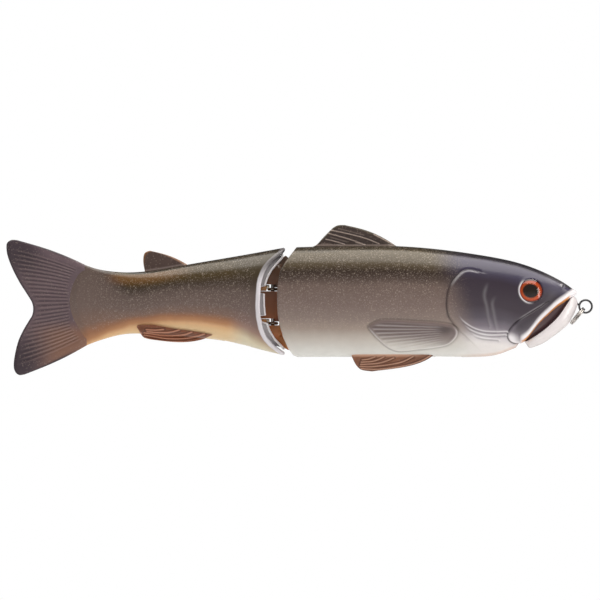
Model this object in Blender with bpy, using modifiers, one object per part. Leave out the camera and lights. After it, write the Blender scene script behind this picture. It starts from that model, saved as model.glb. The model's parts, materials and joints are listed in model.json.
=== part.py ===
"""A two-piece jointed swimbait: a soft skin over hard core halves, hinged on a vertical pin.

Run with: blender --background --python part.py
The frame: +X towards the nose, +Z towards the back fin, the origin at the centre of the line tie's eye.
Profiles are written in millimetres. MM turns them into Blender's metres.
"""

import math

import bmesh
import bpy
import numpy as np
from mathutils import Matrix, Vector

MM = 0.001

# Driving dimensions, in millimetres.
HINGE_X = -136.8  # the vertical hinge axis
SKIN = 2.0  # soft skin thickness
GAP = 0.3  # clearance between touching pieces
CORE_WALL = 1.5
CORE_INSET = SKIN + GAP
CAVITY_INSET = CORE_INSET + CORE_WALL
BLOCK_INSET = CAVITY_INSET + GAP
WIRE = 0.65  # hinge eye wire radius
PIN_RADIUS = 0.8
LOOP_RADIUS = 1.75  # hinge eye loop, at the middle of its wire
HINGE_HEIGHTS = {"upper": 7.5, "lower": -7.4}
PLUG_RADIUS = 8.6
PLUG_MIDDLE, PLUG_HALF_HEIGHT = 2.2, 17.8
EYE_AT = (-24.1, -10.2, 6.9)  # right eye: the middle of the socket's mouth
EYE_RADIUS = 5.0
EYE_FACING = (0.20, -1.0, 0.10)
TIE_RADIUS, TIE_WIRE = 2.76, 0.45  # line tie eye, at the middle of its wire
RING_RADIUS, RING_WIRE = 4.2, 0.38  # split ring, at the middle of its wire
RING_HANG = math.radians(230)  # where the split ring points from the eye
RING_REACH = 5.5  # from the eye's centre to the ring's centre
JAW_AT, JAW_TILT = (-26.6, -16.0), math.radians(40)

# Side profiles as (x, z), and half widths as (x, y).
FRONT_TOP = [(-150, 25.0), (-129, 25.8), (-107, 26.4), (-81, 26.3), (-55, 23.8), (-41, 21.6),
             (-30, 19.2), (-20, 15.7), (-12.9, 12.3), (-7.5, 9.0), (-4.2, 6.4)]
FRONT_BOTTOM = [(-150, -22.1), (-129, -22.1), (-60, -22.1), (-46, -22.0), (-37, -20.5), (-31, -17.6)]
MOUTH_LINE = [(-31, -17.6), (-26.6, -14.3), (-20.1, -6.8), (-15.1, -1.4), (-9.6, 2.5), (-4.2, 5.8)]
FRONT_WIDTH = [(-150, 13.6), (-129, 14.3), (-105, 15.6), (-80, 16.0), (-55, 15.4), (-38, 13.5),
               (-24, 10.9), (-15, 8.4), (-8, 5.4), (-4.2, 2.4)]
REAR_TOP = [(-228, 22.2), (-220.4, 19.1), (-213.7, 16.4), (-208.9, 15.5), (-201.9, 14.9), (-192.7, 15.3),
            (-173.4, 18.4), (-159.9, 20.7), (-149.4, 22.5), (-138.9, 24.4), (-128, 26.4)]
REAR_BOTTOM = [(-228, -22.0), (-220.4, -18.6), (-215.9, -16.6), (-209.3, -13.9), (-201.9, -12.2),
               (-194.9, -11.9), (-177.4, -13.2), (-159.9, -14.8), (-145.9, -17.9), (-138.9, -19.7), (-128, -22.3)]
REAR_WIDTH = [(-228, 1.7), (-220, 2.2), (-212, 3.2), (-200, 4.9), (-185, 7.2), (-165, 9.9), (-148, 12.2), (-128, 13.8)]
# Radius about the hinge axis that the front half's end is turned to, as (z, radius).
END_RADIUS = [(-26, 9.4), (-18.6, 10.5), (-10, 13.0), (0, 14.1), (10, 13.7), (16, 12.3), (20, 10.8), (24, 9.9), (29, 9.5)]
# The rear skin's front lip in side view, as (x, z).
LIP = [(-131.0, 27.0), (-131.6, 25.0), (-133.2, 22.6), (-136.6, 20.0), (-139.2, 16.0), (-141.3, 10.0),
       (-142.2, 1.0), (-140.6, -10.0), (-137.6, -15.2), (-133.6, -19.0), (-131.2, -20.6), (-129.5, -23.0)]
CORE_PAST_LIP = 1.8
DORSAL = [(-120.0, 25.4), (-118.0, 27.0), (-115.0, 29.8), (-112.3, 32.6), (-109.6, 35.0), (-107.0, 35.6), (-102.5, 34.9),
          (-97.0, 32.8), (-91.0, 30.0), (-85.0, 27.3), (-82.5, 25.9), (-85.0, 25.4), (-100.0, 25.2), (-117.0, 25.0)]
ADIPOSE = [(-192.6, 14.2), (-193.2, 17.0), (-193.4, 20.4), (-192.9, 23.3), (-190.7, 24.4), (-187.6, 23.8),
           (-183.9, 22.3), (-179.2, 20.3), (-175.2, 18.5), (-173.8, 17.2), (-180.0, 15.8), (-188.0, 14.6)]
ANAL = [(-195.2, -10.6), (-194.6, -12.6), (-192.9, -14.6), (-188.5, -15.6), (-180.0, -16.0), (-172.0, -15.9),
        (-166.0, -15.0), (-163.0, -13.3), (-166.0, -12.6), (-178.0, -11.6), (-190.0, -10.5)]
PELVIC = [(-102.3, -20.8), (-101.2, -23.7), (-99.0, -26.9), (-95.8, -28.3), (-91.0, -28.4), (-85.0, -27.8),
          (-78.4, -26.6), (-73.0, -24.8), (-69.0, -23.0), (-67.2, -21.0), (-70.0, -20.3), (-85.0, -20.0), (-100.0, -20.2)]
TAIL = [(-224.0, 12.0), (-226.2, 3.0), (-225.4, -4.0), (-222.6, -10.5), (-218.2, -17.5), (-224.9, -20.6), (-233.8, -24.7),
        (-243.6, -29.1), (-246.9, -30.1), (-249.2, -29.0), (-250.0, -25.0), (-249.4, -20.2), (-247.0, -12.2),
        (-243.4, -5.8), (-241.7, -0.6), (-244.2, 5.2), (-248.6, 12.2), (-252.0, 19.8), (-253.3, 25.6),
        (-252.6, 28.3), (-250.6, 29.0), (-247.6, 28.6), (-238.2, 25.1), (-229.3, 22.7), (-219.0, 18.6)]
TAIL_EDGE = [(-217.4, 30.0), (-219.0, 18.6), (-224.0, 12.0), (-226.2, 3.0), (-225.4, -4.0), (-222.6, -10.5),
             (-218.2, -17.5), (-215.5, -30.0)]


def clear_scene():
    for obj in list(bpy.data.objects):
        bpy.data.objects.remove(obj, do_unlink=True)


def new_collection(name):
    collection = bpy.data.collections.new(name)
    bpy.context.scene.collection.children.link(collection)
    return collection


def spline(points):
    """A natural cubic curve through (x, value) points in rising x, as a function of x."""
    x, v = np.array(sorted(points), float).T
    h = np.diff(x)
    slopes = np.diff(v) / h
    system = np.eye(len(x))
    right = np.zeros(len(x))
    for i in range(1, len(x) - 1):
        system[i, i - 1 : i + 2] = h[i - 1], 2 * (h[i - 1] + h[i]), h[i]
        right[i] = 6 * (slopes[i] - slopes[i - 1])
    bend = np.linalg.solve(system, right)

    def value(at):
        i = int(np.clip(np.searchsorted(x, at) - 1, 0, len(h) - 1))
        a, b = (x[i + 1] - at) / h[i], (at - x[i]) / h[i]
        curved = ((a**3 - a) * bend[i] + (b**3 - b) * bend[i + 1]) * h[i] ** 2 / 6
        return float(a * v[i] + b * v[i + 1] + curved)

    return value


def rounded_outline(points, steps=2):
    """A closed smooth outline through the points, as Catmull-Rom."""
    out = []
    count = len(points)
    for i in range(count):
        p0, p1, p2, p3 = (np.array(points[(i + k - 1) % count], float) for k in range(4))
        for step in range(steps):
            t = step / steps
            out.append(0.5 * (2 * p1 + (p2 - p0) * t + (2 * p0 - 5 * p1 + 4 * p2 - p3) * t**2
                              + (3 * p1 - p0 - 3 * p2 + p3) * t**3))
    return out


def material(name, colour, roughness, metallic=0.0):
    made = bpy.data.materials.get(name) or bpy.data.materials.new(name)
    made.use_nodes = True
    shader = made.node_tree.nodes["Principled BSDF"]
    shader.inputs["Base Color"].default_value = (*colour, 1.0)
    shader.inputs["Roughness"].default_value = roughness
    shader.inputs["Metallic"].default_value = metallic
    return made


def finish(obj, collection, look=None, cutter=False, smooth=True):
    """Puts an object in its collection with its material, or marks it as a cutter."""
    for holder in list(obj.users_collection):
        holder.objects.unlink(obj)
    collection.objects.link(obj)
    if look is not None:
        obj.data.materials.append(look)
    if cutter:
        obj.hide_render = True
        obj.display_type = "WIRE"
    if smooth and obj.type == "MESH":
        obj.data.shade_smooth()
        obj.data.set_sharp_from_angle(angle=math.radians(40))
    return obj


def mesh_object(name, bm, collection, look=None, cutter=False):
    bmesh.ops.recalc_face_normals(bm, faces=bm.faces)
    mesh = bpy.data.meshes.new(name)
    bm.to_mesh(mesh)
    bm.free()
    return finish(bpy.data.objects.new(name, mesh), collection, look, cutter)


def oval(top, bottom, width, count, fullness):
    """A cross-section as (y, z) points: a superellipse between top and bottom."""
    middle, half = (top + bottom) / 2, (top - bottom) / 2
    power = 2 / fullness
    ring = []
    for i in range(count):
        c, s = math.cos(2 * math.pi * i / count), math.sin(2 * math.pi * i / count)
        ring.append((width * math.copysign(abs(c) ** power, c), middle + half * math.copysign(abs(s) ** power, s)))
    return ring


def loft(name, rings, collection, look=None, cutter=False):
    """A closed solid through rings of (x, y, z) points in millimetres, capped at both ends."""
    bm = bmesh.new()
    loops = [[bm.verts.new(Vector(p) * MM) for p in ring] for ring in rings]
    for first, second in zip(loops, loops[1:]):
        for i in range(len(first)):
            j = (i + 1) % len(first)
            bm.faces.new((first[i], first[j], second[j], second[i]))
    for loop in (loops[0], loops[-1]):
        bm.faces.new(loop)
    return mesh_object(name, bm, collection, look, cutter)


def body_rings(xs, top, bottom, width, inset, count, fullness):
    rings = []
    for x in xs:
        ring = oval(top(x) - inset, bottom(x) + inset, width(x) - inset, count, fullness)
        rings.append([(x, y, z) for y, z in ring])
    return rings


front_top, front_width = spline(FRONT_TOP), spline(FRONT_WIDTH)
throat, mouth = spline(FRONT_BOTTOM), spline(MOUTH_LINE)
rear_top, rear_bottom, rear_width = spline(REAR_TOP), spline(REAR_BOTTOM), spline(REAR_WIDTH)
FULLNESS = 2.25


def front_bottom(x):
    return throat(x) if x < MOUTH_LINE[0][0] else mouth(x)


def stations(start, end, spacing):
    """Ring positions shared by pieces that nest in one another: both ends and the marks between them."""
    marks = [m for m in np.arange(-300, 0, spacing) if start + spacing / 4 < m < end - spacing / 4]
    return [start, *marks, end]


def front_loft(name, start, end, inset, spacing, count, collection, look=None, cutter=False):
    xs = stations(start, end, spacing)
    rings = body_rings(xs, front_top, front_bottom, front_width, inset, count, FULLNESS)
    return loft(name, rings, collection, look, cutter)


def rear_loft(name, start, end, inset, spacing, count, collection, look=None, cutter=False):
    xs = stations(start, end, spacing)
    rings = body_rings(xs, rear_top, rear_bottom, rear_width, inset, count, FULLNESS)
    return loft(name, rings, collection, look, cutter)


def turned(name, profile, at, collection, look=None, cutter=False, steps=32):
    """A solid turned about the vertical axis at at. The profile is (radius, z), top to bottom."""
    bm = bmesh.new()
    verts = [bm.verts.new((r * MM, 0, z * MM)) for r, z in profile]
    for a, b in zip(verts, verts[1:]):
        bm.edges.new((a, b))
    mesh = bpy.data.meshes.new(name)
    bm.to_mesh(mesh)
    bm.free()
    obj = bpy.data.objects.new(name, mesh)
    obj.location = Vector(at) * MM
    screw = obj.modifiers.new("Turn", "SCREW")
    screw.axis = "Z"
    screw.steps = screw.render_steps = steps
    screw.use_merge_vertices = True
    screw.merge_threshold = 0.00001
    return finish(obj, collection, look, cutter, smooth=False)


def cylinder(name, radius, start, end, collection, look=None, cutter=False, sides=16, chamfer=0.0):
    """A round bar from one point to another, in millimetres."""
    a, b = Vector(start), Vector(end)
    bpy.ops.mesh.primitive_cylinder_add(vertices=sides, radius=radius * MM, depth=(b - a).length * MM)
    obj = bpy.context.object
    obj.name = name
    turn = (b - a).to_track_quat("Z", "Y").to_matrix().to_4x4()
    obj.matrix_world = Matrix.Translation((a + b) / 2 * MM) @ turn
    if chamfer:
        edge = obj.modifiers.new("Edge", "BEVEL")
        edge.width, edge.segments = chamfer * MM, 2
        edge.limit_method, edge.angle_limit = "ANGLE", math.radians(50)
    return finish(obj, collection, look, cutter)


def box(name, low, high, collection, look=None, cutter=False):
    low, high = Vector(low), Vector(high)
    bpy.ops.mesh.primitive_cube_add(size=1)
    obj = bpy.context.object
    obj.name = name
    obj.data.transform(Matrix.Diagonal((*((high - low) * MM), 1)))
    obj.location = (low + high) / 2 * MM
    return finish(obj, collection, look, cutter, smooth=False)


def as_mesh(obj, collection, look=None, cutter=False):
    """Turns a curve object into a welded mesh object in the same place."""
    bpy.context.view_layer.update()
    graph = bpy.context.evaluated_depsgraph_get()
    mesh = bpy.data.meshes.new_from_object(obj.evaluated_get(graph))
    bm = bmesh.new()
    bm.from_mesh(mesh)
    bmesh.ops.remove_doubles(bm, verts=bm.verts, dist=0.000002)
    bmesh.ops.recalc_face_normals(bm, faces=bm.faces)
    bm.to_mesh(mesh)
    bm.free()
    name, place = obj.name, obj.matrix_world.copy()
    bpy.data.objects.remove(obj, do_unlink=True)
    made = bpy.data.objects.new(name, mesh)
    made.matrix_world = place
    mesh.materials.clear()
    return finish(made, collection, look, cutter)


def plate(name, outline, thickness, collection, look=None, grow=0.0, edge=0.35, at_y=0.0, lean=0.0, steps=2):
    """A flat piece cut to a side outline. With grow it is a cutter that is larger all round."""
    curve = bpy.data.curves.new(name, "CURVE")
    curve.dimensions = "2D"
    curve.fill_mode = "BOTH"
    points = rounded_outline(outline, steps)
    hinge_z = max(z for _, z in outline) if lean else 0.0
    line = curve.splines.new("POLY")
    line.points.add(len(points) - 1)
    for point, (x, z) in zip(line.points, points):
        point.co = (x * MM, (z - hinge_z) * MM, 0, 1)
    line.use_cyclic_u = True
    depth = grow if grow else edge
    curve.bevel_depth, curve.bevel_resolution = depth * MM, 0
    curve.offset = 0.0 if grow else -edge * MM
    curve.extrude = (thickness / 2 - (0.0 if grow else edge)) * MM
    obj = bpy.data.objects.new(name, curve)
    collection.objects.link(obj)
    obj.rotation_euler = (math.radians(90) + lean, 0, 0)
    obj.location = (0, at_y * MM, hinge_z * MM)
    return as_mesh(obj, collection, look, cutter=bool(grow))


def tube(name, points, radius, collection, look=None, cutter=False, resolution=2):
    """A round wire through points in millimetres."""
    curve = bpy.data.curves.new(name, "CURVE")
    curve.dimensions = "3D"
    curve.bevel_depth, curve.bevel_resolution = radius * MM, resolution
    curve.use_fill_caps = True
    line = curve.splines.new("POLY")
    line.points.add(len(points) - 1)
    for point, at in zip(line.points, points):
        point.co = (*(Vector(at) * MM), 1)
    obj = bpy.data.objects.new(name, curve)
    collection.objects.link(obj)
    return as_mesh(obj, collection, look, cutter)


def boolean(target, other, operation="DIFFERENCE"):
    step = target.modifiers.new(operation.title() + " " + other.name, "BOOLEAN")
    step.operation = operation
    step.object = other
    step.solver = "EXACT"
    return step


def joined(target, *others):
    """Unites solids into the first one and removes the others."""
    for other in others:
        boolean(target, other, "UNION")
    bpy.context.view_layer.update()
    graph = bpy.context.evaluated_depsgraph_get()
    mesh = bpy.data.meshes.new_from_object(target.evaluated_get(graph))
    target.modifiers.clear()
    target.data = mesh
    for other in others:
        bpy.data.objects.remove(other, do_unlink=True)
    return target


def mirrored(obj, name, collection, look):
    """The other side's copy of a finished piece."""
    bpy.context.view_layer.update()
    mesh = obj.data.copy()
    mesh.transform(Matrix.Diagonal((1, -1, 1, 1)) @ obj.matrix_world)
    mesh.flip_normals()
    return finish(bpy.data.objects.new(name, mesh), collection, None)


def side_cutter(name, edge, ahead, cutters):
    """A cutter on one side of a side-view line: ahead of it towards the nose, or behind it."""
    far = 60 if ahead else -80
    line = spline([(z, x) for x, z in edge])
    heights = np.linspace(min(z for _, z in edge), max(z for _, z in edge), 14)
    near = [(line(z), z) for z in heights]
    bm = bmesh.new()
    outline = near + [(near[-1][0] + far, near[-1][1]), (near[0][0] + far, near[0][1])]
    face = bm.faces.new([bm.verts.new((x * MM, -30 * MM, z * MM)) for x, z in outline])
    pushed = bmesh.ops.extrude_face_region(bm, geom=[face])
    bmesh.ops.translate(bm, vec=(0, 60 * MM, 0), verts=[v for v in pushed["geom"] if isinstance(v, bmesh.types.BMVert)])
    return mesh_object(name, bm, cutters, cutter=True)


def shifted(edge, by):
    return [(x + by, z) for x, z in edge]


def looks():
    return {
        "skin": material("Painted soft skin", (0.16, 0.12, 0.10), 0.35),
        "core": material("Core plastic", (0.42, 0.38, 0.35), 0.4),
        "block": material("Amber joint plastic", (0.12, 0.05, 0.03), 0.3),
        "fin": material("Soft fin", (0.14, 0.08, 0.06), 0.4),
        "jaw": material("White jaw", (0.85, 0.80, 0.79), 0.3),
        "mouth": material("Mouth lining", (0.03, 0.02, 0.02), 0.15),
        "wire": material("Bright wire", (0.75, 0.74, 0.72), 0.12, 1.0),
        "lead": material("Ballast", (0.30, 0.30, 0.32), 0.5, 1.0),
        "iris": material("Iris foil", (0.60, 0.12, 0.05), 0.25, 0.5),
        "lens": material("Clear eye resin", (0.05, 0.03, 0.02), 0.05),
    }


def end_cutter(name, grow, cutters):
    """The turned hollow that the tail half's front swings in."""
    radius = spline(END_RADIUS)
    low, high = END_RADIUS[0][0], END_RADIUS[-1][0]
    profile = [(0, high)] + [(radius(z) + grow, z) for z in np.linspace(high, low, 14)] + [(0, low)]
    return turned(name, profile, (HINGE_X, 0, 0), cutters, cutter=True, steps=32)


def make_front_skin(parts, cutters, look, slots):
    skin = front_loft("front_skin", -150, -4.2, 0, 5, 28, parts, look["skin"])
    inside = front_loft("front_skin_inside", -155, -17, SKIN, 10, 20, cutters, cutter=True)
    behind = box("behind_front", (-200, -40, -40), (HINGE_X, 40, 40), cutters, cutter=True)
    for cutter in (inside, behind, slots["front_end"], *slots["front"]):
        boolean(skin, cutter)
    return skin


def make_front_cores(parts, cutters, look, slots):
    """Left and right core halves with bulkheads between their chambers."""
    chambers = [(-160, -118.5, 20), (-117, -85, 12), (-83.5, -52, 12), (-50.5, -24, 12)]
    hollow = [front_loft(f"front_chamber_{i}", a, b, CAVITY_INSET, 10, count, cutters, cutter=True)
              for i, (a, b, count) in enumerate(chambers)]
    behind = bpy.data.objects["behind_front"]
    for side, sign in (("right", -1), ("left", 1)):
        core = front_loft(f"front_core_{side}", -150, -20, CORE_INSET, 10, 20, parts, look["core"])
        ends = sorted((sign * GAP / 2, -sign * 40))
        other = box(f"front_other_{side}", (-170, ends[0], -50), (20, ends[1], 50), cutters, cutter=True)
        for cutter in (other, behind, slots["front_end"], *hollow, *slots["front_core"]):
            boolean(core, cutter)


def make_joint_block(parts, cutters, look):
    """The amber block that carries the pin: a turned plug, a web and a root that fills the core's end."""
    block = front_loft("joint_block", -150, -119.5, BLOCK_INSET, 10, 20, parts, look["block"])
    boolean(block, bpy.data.objects["behind_front"])
    boolean(block, bpy.data.objects["front_end"])
    angles = np.linspace(0, math.pi, 12)
    profile = [(PLUG_RADIUS * math.sin(a), PLUG_MIDDLE + PLUG_HALF_HEIGHT * math.cos(a)) for a in angles]
    plug = turned("plug", profile, (HINGE_X, 0, 0), parts, steps=24)
    wide = box("wide_web", (HINGE_X + 1, -5, -10.5), (HINGE_X + 16, 5, 13), parts)
    narrow = box("narrow_web", (HINGE_X + 0.5, -1.4, -15.0), (HINGE_X + 14, 1.4, 18.8), parts)
    joined(block, plug, wide, narrow)
    for level, z in HINGE_HEIGHTS.items():
        low, high = (-160, -20, z - 1.15), (HINGE_X + 2.8, 20, z + 2.1)
        boolean(block, box(f"{level}_slot", low, high, cutters, cutter=True))
    bore = cylinder("pin_bore", PIN_RADIUS + GAP, (HINGE_X, 0, -20), (HINGE_X, 0, 17.4), cutters, cutter=True)
    boolean(block, bore)
    cylinder("hinge_pin", PIN_RADIUS, (HINGE_X, 0, -14.0), (HINGE_X, 0, 17.0), parts, look["wire"], chamfer=0.2)


def make_hinge_eyes(parts, cutters, look):
    """Two screw eyes: a level loop round the pin, a collar, and a shank set in the tail half's bulkhead."""
    holes = []
    for level, z in HINGE_HEIGHTS.items():
        bpy.ops.mesh.primitive_torus_add(major_radius=LOOP_RADIUS * MM, minor_radius=WIRE * MM,
                                         major_segments=20, minor_segments=8, location=(HINGE_X * MM, 0, z * MM))
        eye = bpy.context.object
        eye.name = f"{level}_hinge_eye"
        finish(eye, parts, look["wire"])
        root = HINGE_X - LOOP_RADIUS - 0.2
        shank = cylinder(f"{level}_shank", WIRE * 0.97, (root, 0, z), (-153.5, 0, z), parts, sides=12)
        collar = cylinder(f"{level}_collar", 1.2, (HINGE_X - 2.15, 0, z + 0.4), (HINGE_X - 4.9, 0, z + 0.4), parts)
        joined(eye, shank, collar)
        holes.append(cylinder(f"{level}_shank_hole", WIRE + GAP, (-140, 0, z), (-154, 0, z), cutters, cutter=True))
    return holes


def make_rear(parts, cutters, look, slots):
    """The tail half's skin and its two core halves."""
    skin = rear_loft("rear_skin", -228, -128, 0, 5, 26, parts, look["skin"])
    inside = rear_loft("rear_skin_inside", -205, -120, SKIN, 10, 20, cutters, cutter=True)
    lip = side_cutter("rear_lip", LIP, True, cutters)
    tail = side_cutter("tail_edge", shifted(TAIL_EDGE, 2 * GAP), False, cutters)
    for cutter in (inside, lip, tail, *slots["rear"]):
        boolean(skin, cutter)
    rim = side_cutter("rear_rim", shifted(LIP, CORE_PAST_LIP), True, cutters)
    socket = rear_loft("rear_socket", -146.6, -115, CAVITY_INSET - 0.2, 10, 20, cutters, cutter=True)
    hollow = rear_loft("rear_hollow", -196, -154.6, CAVITY_INSET, 10, 12, cutters, cutter=True)
    notches = [box(f"{level}_notch", (-142.4, -30, z - 1.3), (-130, 30, z + 2.2), cutters, cutter=True)
               for level, z in HINGE_HEIGHTS.items()]
    for side, sign in (("right", -1), ("left", 1)):
        core = rear_loft(f"rear_core_{side}", -203, -125, CORE_INSET, 10, 20, parts, look["core"])
        ends = sorted((sign * GAP / 2, -sign * 40))
        other = box(f"rear_other_{side}", (-240, ends[0], -50), (-100, ends[1], 50), cutters, cutter=True)
        for cutter in (other, rim, socket, hollow, *notches, *slots["rear_core"]):
            boolean(core, cutter)


def make_fins(parts, cutters, look):
    """Soft fins, and the cutters that seat their roots in the skin."""
    plate("dorsal_fin", DORSAL, 1.9, parts, look["fin"])
    plate("adipose_fin", ADIPOSE, 1.8, parts, look["fin"])
    plate("anal_fin", ANAL, 2.4, parts, look["fin"])
    plate("tail_fin", TAIL, 2.2, parts, look["fin"], edge=0.5)
    lean, out = math.radians(24), 5.2
    right = plate("pelvic_fin_right", PELVIC, 1.5, parts, look["fin"], at_y=-out, lean=-lean)
    mirrored(right, "pelvic_fin_left", parts, look["fin"])
    front = [plate("dorsal_slot", DORSAL, 1.9, cutters, grow=GAP)]
    pelvic = plate("pelvic_slot_right", PELVIC, 1.5, cutters, grow=GAP, at_y=-out, lean=-lean)
    other = mirrored(pelvic, "pelvic_slot_left", cutters, None)
    other.hide_render, other.display_type = True, "WIRE"
    rear = [plate("adipose_slot", ADIPOSE, 1.8, cutters, grow=GAP), plate("anal_slot", ANAL, 2.4, cutters, grow=GAP)]
    return front + [pelvic, other], rear


def make_eyes(parts, cutters, look):
    """Each eye is a printed foil disc under a clear dome, set in a round socket."""
    sockets = []
    for side, sign in (("right", 1), ("left", -1)):
        middle = Vector((EYE_AT[0], EYE_AT[1] * sign, EYE_AT[2]))
        facing = Vector((EYE_FACING[0], EYE_FACING[1] * sign, EYE_FACING[2])).normalized()
        cylinder(f"eye_iris_{side}", EYE_RADIUS - 0.1, middle - facing * 1.7, middle - facing * 1.0, parts, look["iris"], sides=20)
        height, base = 1.7, 0.6
        rise = [(EYE_RADIUS * math.cos(a), base + height * math.sin(a)) for a in np.linspace(math.pi / 2, 0, 5)]
        lens = turned(f"eye_lens_{side}", rise + [(EYE_RADIUS, 0), (0, 0)], (0, 0, 0), parts, look["lens"], steps=20)
        turn = facing.to_track_quat("Z", "Y").to_matrix().to_4x4()
        lens.matrix_world = Matrix.Translation((middle - facing * 0.7) * MM) @ turn
        sockets.append(cylinder(f"eye_socket_{side}", EYE_RADIUS + GAP, middle - facing * 2.0, middle + facing * 12,
                                cutters, cutter=True, sides=20))
    return sockets


def jaw_point(u, y, v):
    """A point given along the jaw, across it, and square to it, in the row frame."""
    c, s = math.cos(JAW_TILT), math.sin(JAW_TILT)
    return (JAW_AT[0] + u * c - v * s, y, JAW_AT[1] + u * s + v * c)


def jaw_loft(name, stations, count, collection, look=None, cutter=False, grow=0.0):
    """A solid along the jaw through (u, top, bottom, half width) stations."""
    rings = []
    last = len(stations) - 1
    for i, (u, top, bottom, width) in enumerate(stations):
        end = grow if i == last else -grow if i == 0 else 0
        ring = oval(top + grow, bottom - grow, width + grow, count, 2.2)
        rings.append([jaw_point(u + end, y, v) for y, v in ring])
    return loft(name, rings, collection, look, cutter)


def make_mouth(parts, cutters, look):
    """The scoop-shaped lower jaw and the dark lining between the jaws."""
    lining = [(4.0, 2.4, -0.6, 4.6), (9, 4.6, -3.4, 6.2), (15, 5.2, -3.4, 5.6), (20, 5.2, -2.6, 4.4), (24.5, 4.0, -0.6, 2.8)]
    jaw = [(0.2, -0.6, -2.4, 5.0), (1.5, -0.4, -4.0, 6.8), (5.5, -0.9, -5.2, 7.9), (10, -1.2, -5.8, 7.9), (15, -0.5, -6.1, 7.3),
           (20, 0.4, -5.8, 6.2), (24, 1.0, -4.6, 4.8), (27, 1.6, -3.0, 3.4), (28.8, 1.9, -1.4, 2.2), (29.4, 1.6, -0.4, 1.3)]
    jaw_loft("mouth_lining", lining, 16, parts, look["mouth"])
    clear = jaw_loft("mouth_clearance", lining, 16, cutters, cutter=True, grow=GAP)
    lower = jaw_loft("lower_jaw", jaw, 18, parts, look["jaw"])
    boolean(lower, clear)
    return clear, lower


def make_line_tie(parts, cutters, look, lower):
    """The eye: a ring standing in the middle plane, and a shank that runs down inside the lower jaw."""
    bpy.ops.mesh.primitive_torus_add(major_radius=TIE_RADIUS * MM, minor_radius=TIE_WIRE * MM,
                                     major_segments=24, minor_segments=8, rotation=(math.radians(90), 0, 0))
    eye = bpy.context.object
    eye.name = "line_tie_eye"
    finish(eye, parts, look["wire"])
    path = [(-TIE_RADIUS, 0, 0.5), (-4.4, 0, 1.4), (-6.0, 0, 0.0), (-6.6, 0, -2.5), (-8.5, 0, -6.4), (-11.9, 0, -10.0)]
    joined(eye, tube("tie_shank", path, TIE_WIRE * 0.96, parts))
    boolean(lower, tube("tie_hole", path, TIE_WIRE + GAP, cutters, cutter=True))


def make_split_ring(parts, look):
    """Two flat coils with one crossing between them, threaded on the line tie's eye."""
    crossing, half_gap = math.radians(16), RING_WIRE + 0.03
    radial = Vector((math.cos(RING_HANG), 0, math.sin(RING_HANG)))
    square = Vector((-radial.z, 0, radial.x))
    path = []
    for angle in np.linspace(2 * crossing, 4 * math.pi - 2 * crossing, 45):
        step = np.clip((angle - 2 * math.pi) / crossing, -1, 1)
        aside = half_gap * math.sin(step * math.pi / 2)
        spot = radial * (RING_REACH + RING_RADIUS * math.cos(angle)) + Vector((0, RING_RADIUS * math.sin(angle), 0))
        path.append(spot + square * aside)
    tube("split_ring", path, RING_WIRE, parts, look["wire"])


def make_hook_pins(parts, cutters, look):
    """A cross pin in a narrow slot under each half, for a hook's ring."""
    cuts = {}
    for half, x, z, grow in (("front", -60.0, -22.1, 0.0), ("rear", -152.0, -16.6, 0.0)):
        low, high = (x - 5.5, -1.8, z - 4), (x + 5.5, 1.8, z + 5.4)
        slot = box(f"{half}_hook_slot", low, high, cutters, cutter=True)
        cylinder(f"{half}_hook_pin", 0.7, (x, -4.0, z + 3.1), (x, 4.0, z + 3.1), parts, look["wire"], chamfer=0.15)
        hole = cylinder(f"{half}_hook_pin_hole", 0.7 + GAP, (x, -4.4, z + 3.1), (x, 4.4, z + 3.1), cutters, cutter=True)
        cuts[half] = [slot, hole]
    return cuts


def make_ballast(parts, look):
    cylinder("front_ballast_aft", 5.0, (-110, 0, -11.8), (-92, 0, -11.8), parts, look["lead"], sides=20, chamfer=0.6)
    cylinder("front_ballast_fore", 4.6, (-80, 0, -12.2), (-70, 0, -12.2), parts, look["lead"], sides=20, chamfer=0.6)
    cylinder("rear_ballast", 2.4, (-184, 0, -4.0), (-162, 0, -5.6), parts, look["lead"], sides=16, chamfer=0.4)


def main():
    clear_scene()
    parts, cutters = new_collection("Swimbait"), new_collection("Cutters")
    look = looks()
    front_fins, rear_fins = make_fins(parts, cutters, look)
    sockets = make_eyes(parts, cutters, look)
    mouth_cut, lower = make_mouth(parts, cutters, look)
    hooks = make_hook_pins(parts, cutters, look)
    shanks = make_hinge_eyes(parts, cutters, look)
    slots = {
        "front_end": end_cutter("front_end", 0.0, cutters),
        "front": [*front_fins, *sockets, mouth_cut, *hooks["front"]],
        "front_core": [*sockets, mouth_cut, *hooks["front"]],
        "rear": [*rear_fins, *hooks["rear"]],
        "rear_core": [*shanks, *hooks["rear"]],
    }
    make_front_skin(parts, cutters, look, slots)
    make_front_cores(parts, cutters, look, slots)
    make_joint_block(parts, cutters, look)
    make_rear(parts, cutters, look, slots)
    make_line_tie(parts, cutters, look, lower)
    make_split_ring(parts, look)
    make_ballast(parts, look)


main()
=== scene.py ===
# %% [markdown]
# # A jointed swimbait, skin and all
# The real lure is two fish-shaped halves. Each has a hard shell inside and a soft painted skin outside, and a
# steel pin joins them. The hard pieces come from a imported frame, whose sizes are never changed here. This lesson
# makes what the eye meets: skins with moulded relief, finned edges, glass eyes, bright wire and airbrushed paint.

# %% Load the frame and keep its size
import json
import math

import bmesh
import bpy
import numpy as np
from mathutils import Matrix, Vector


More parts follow.
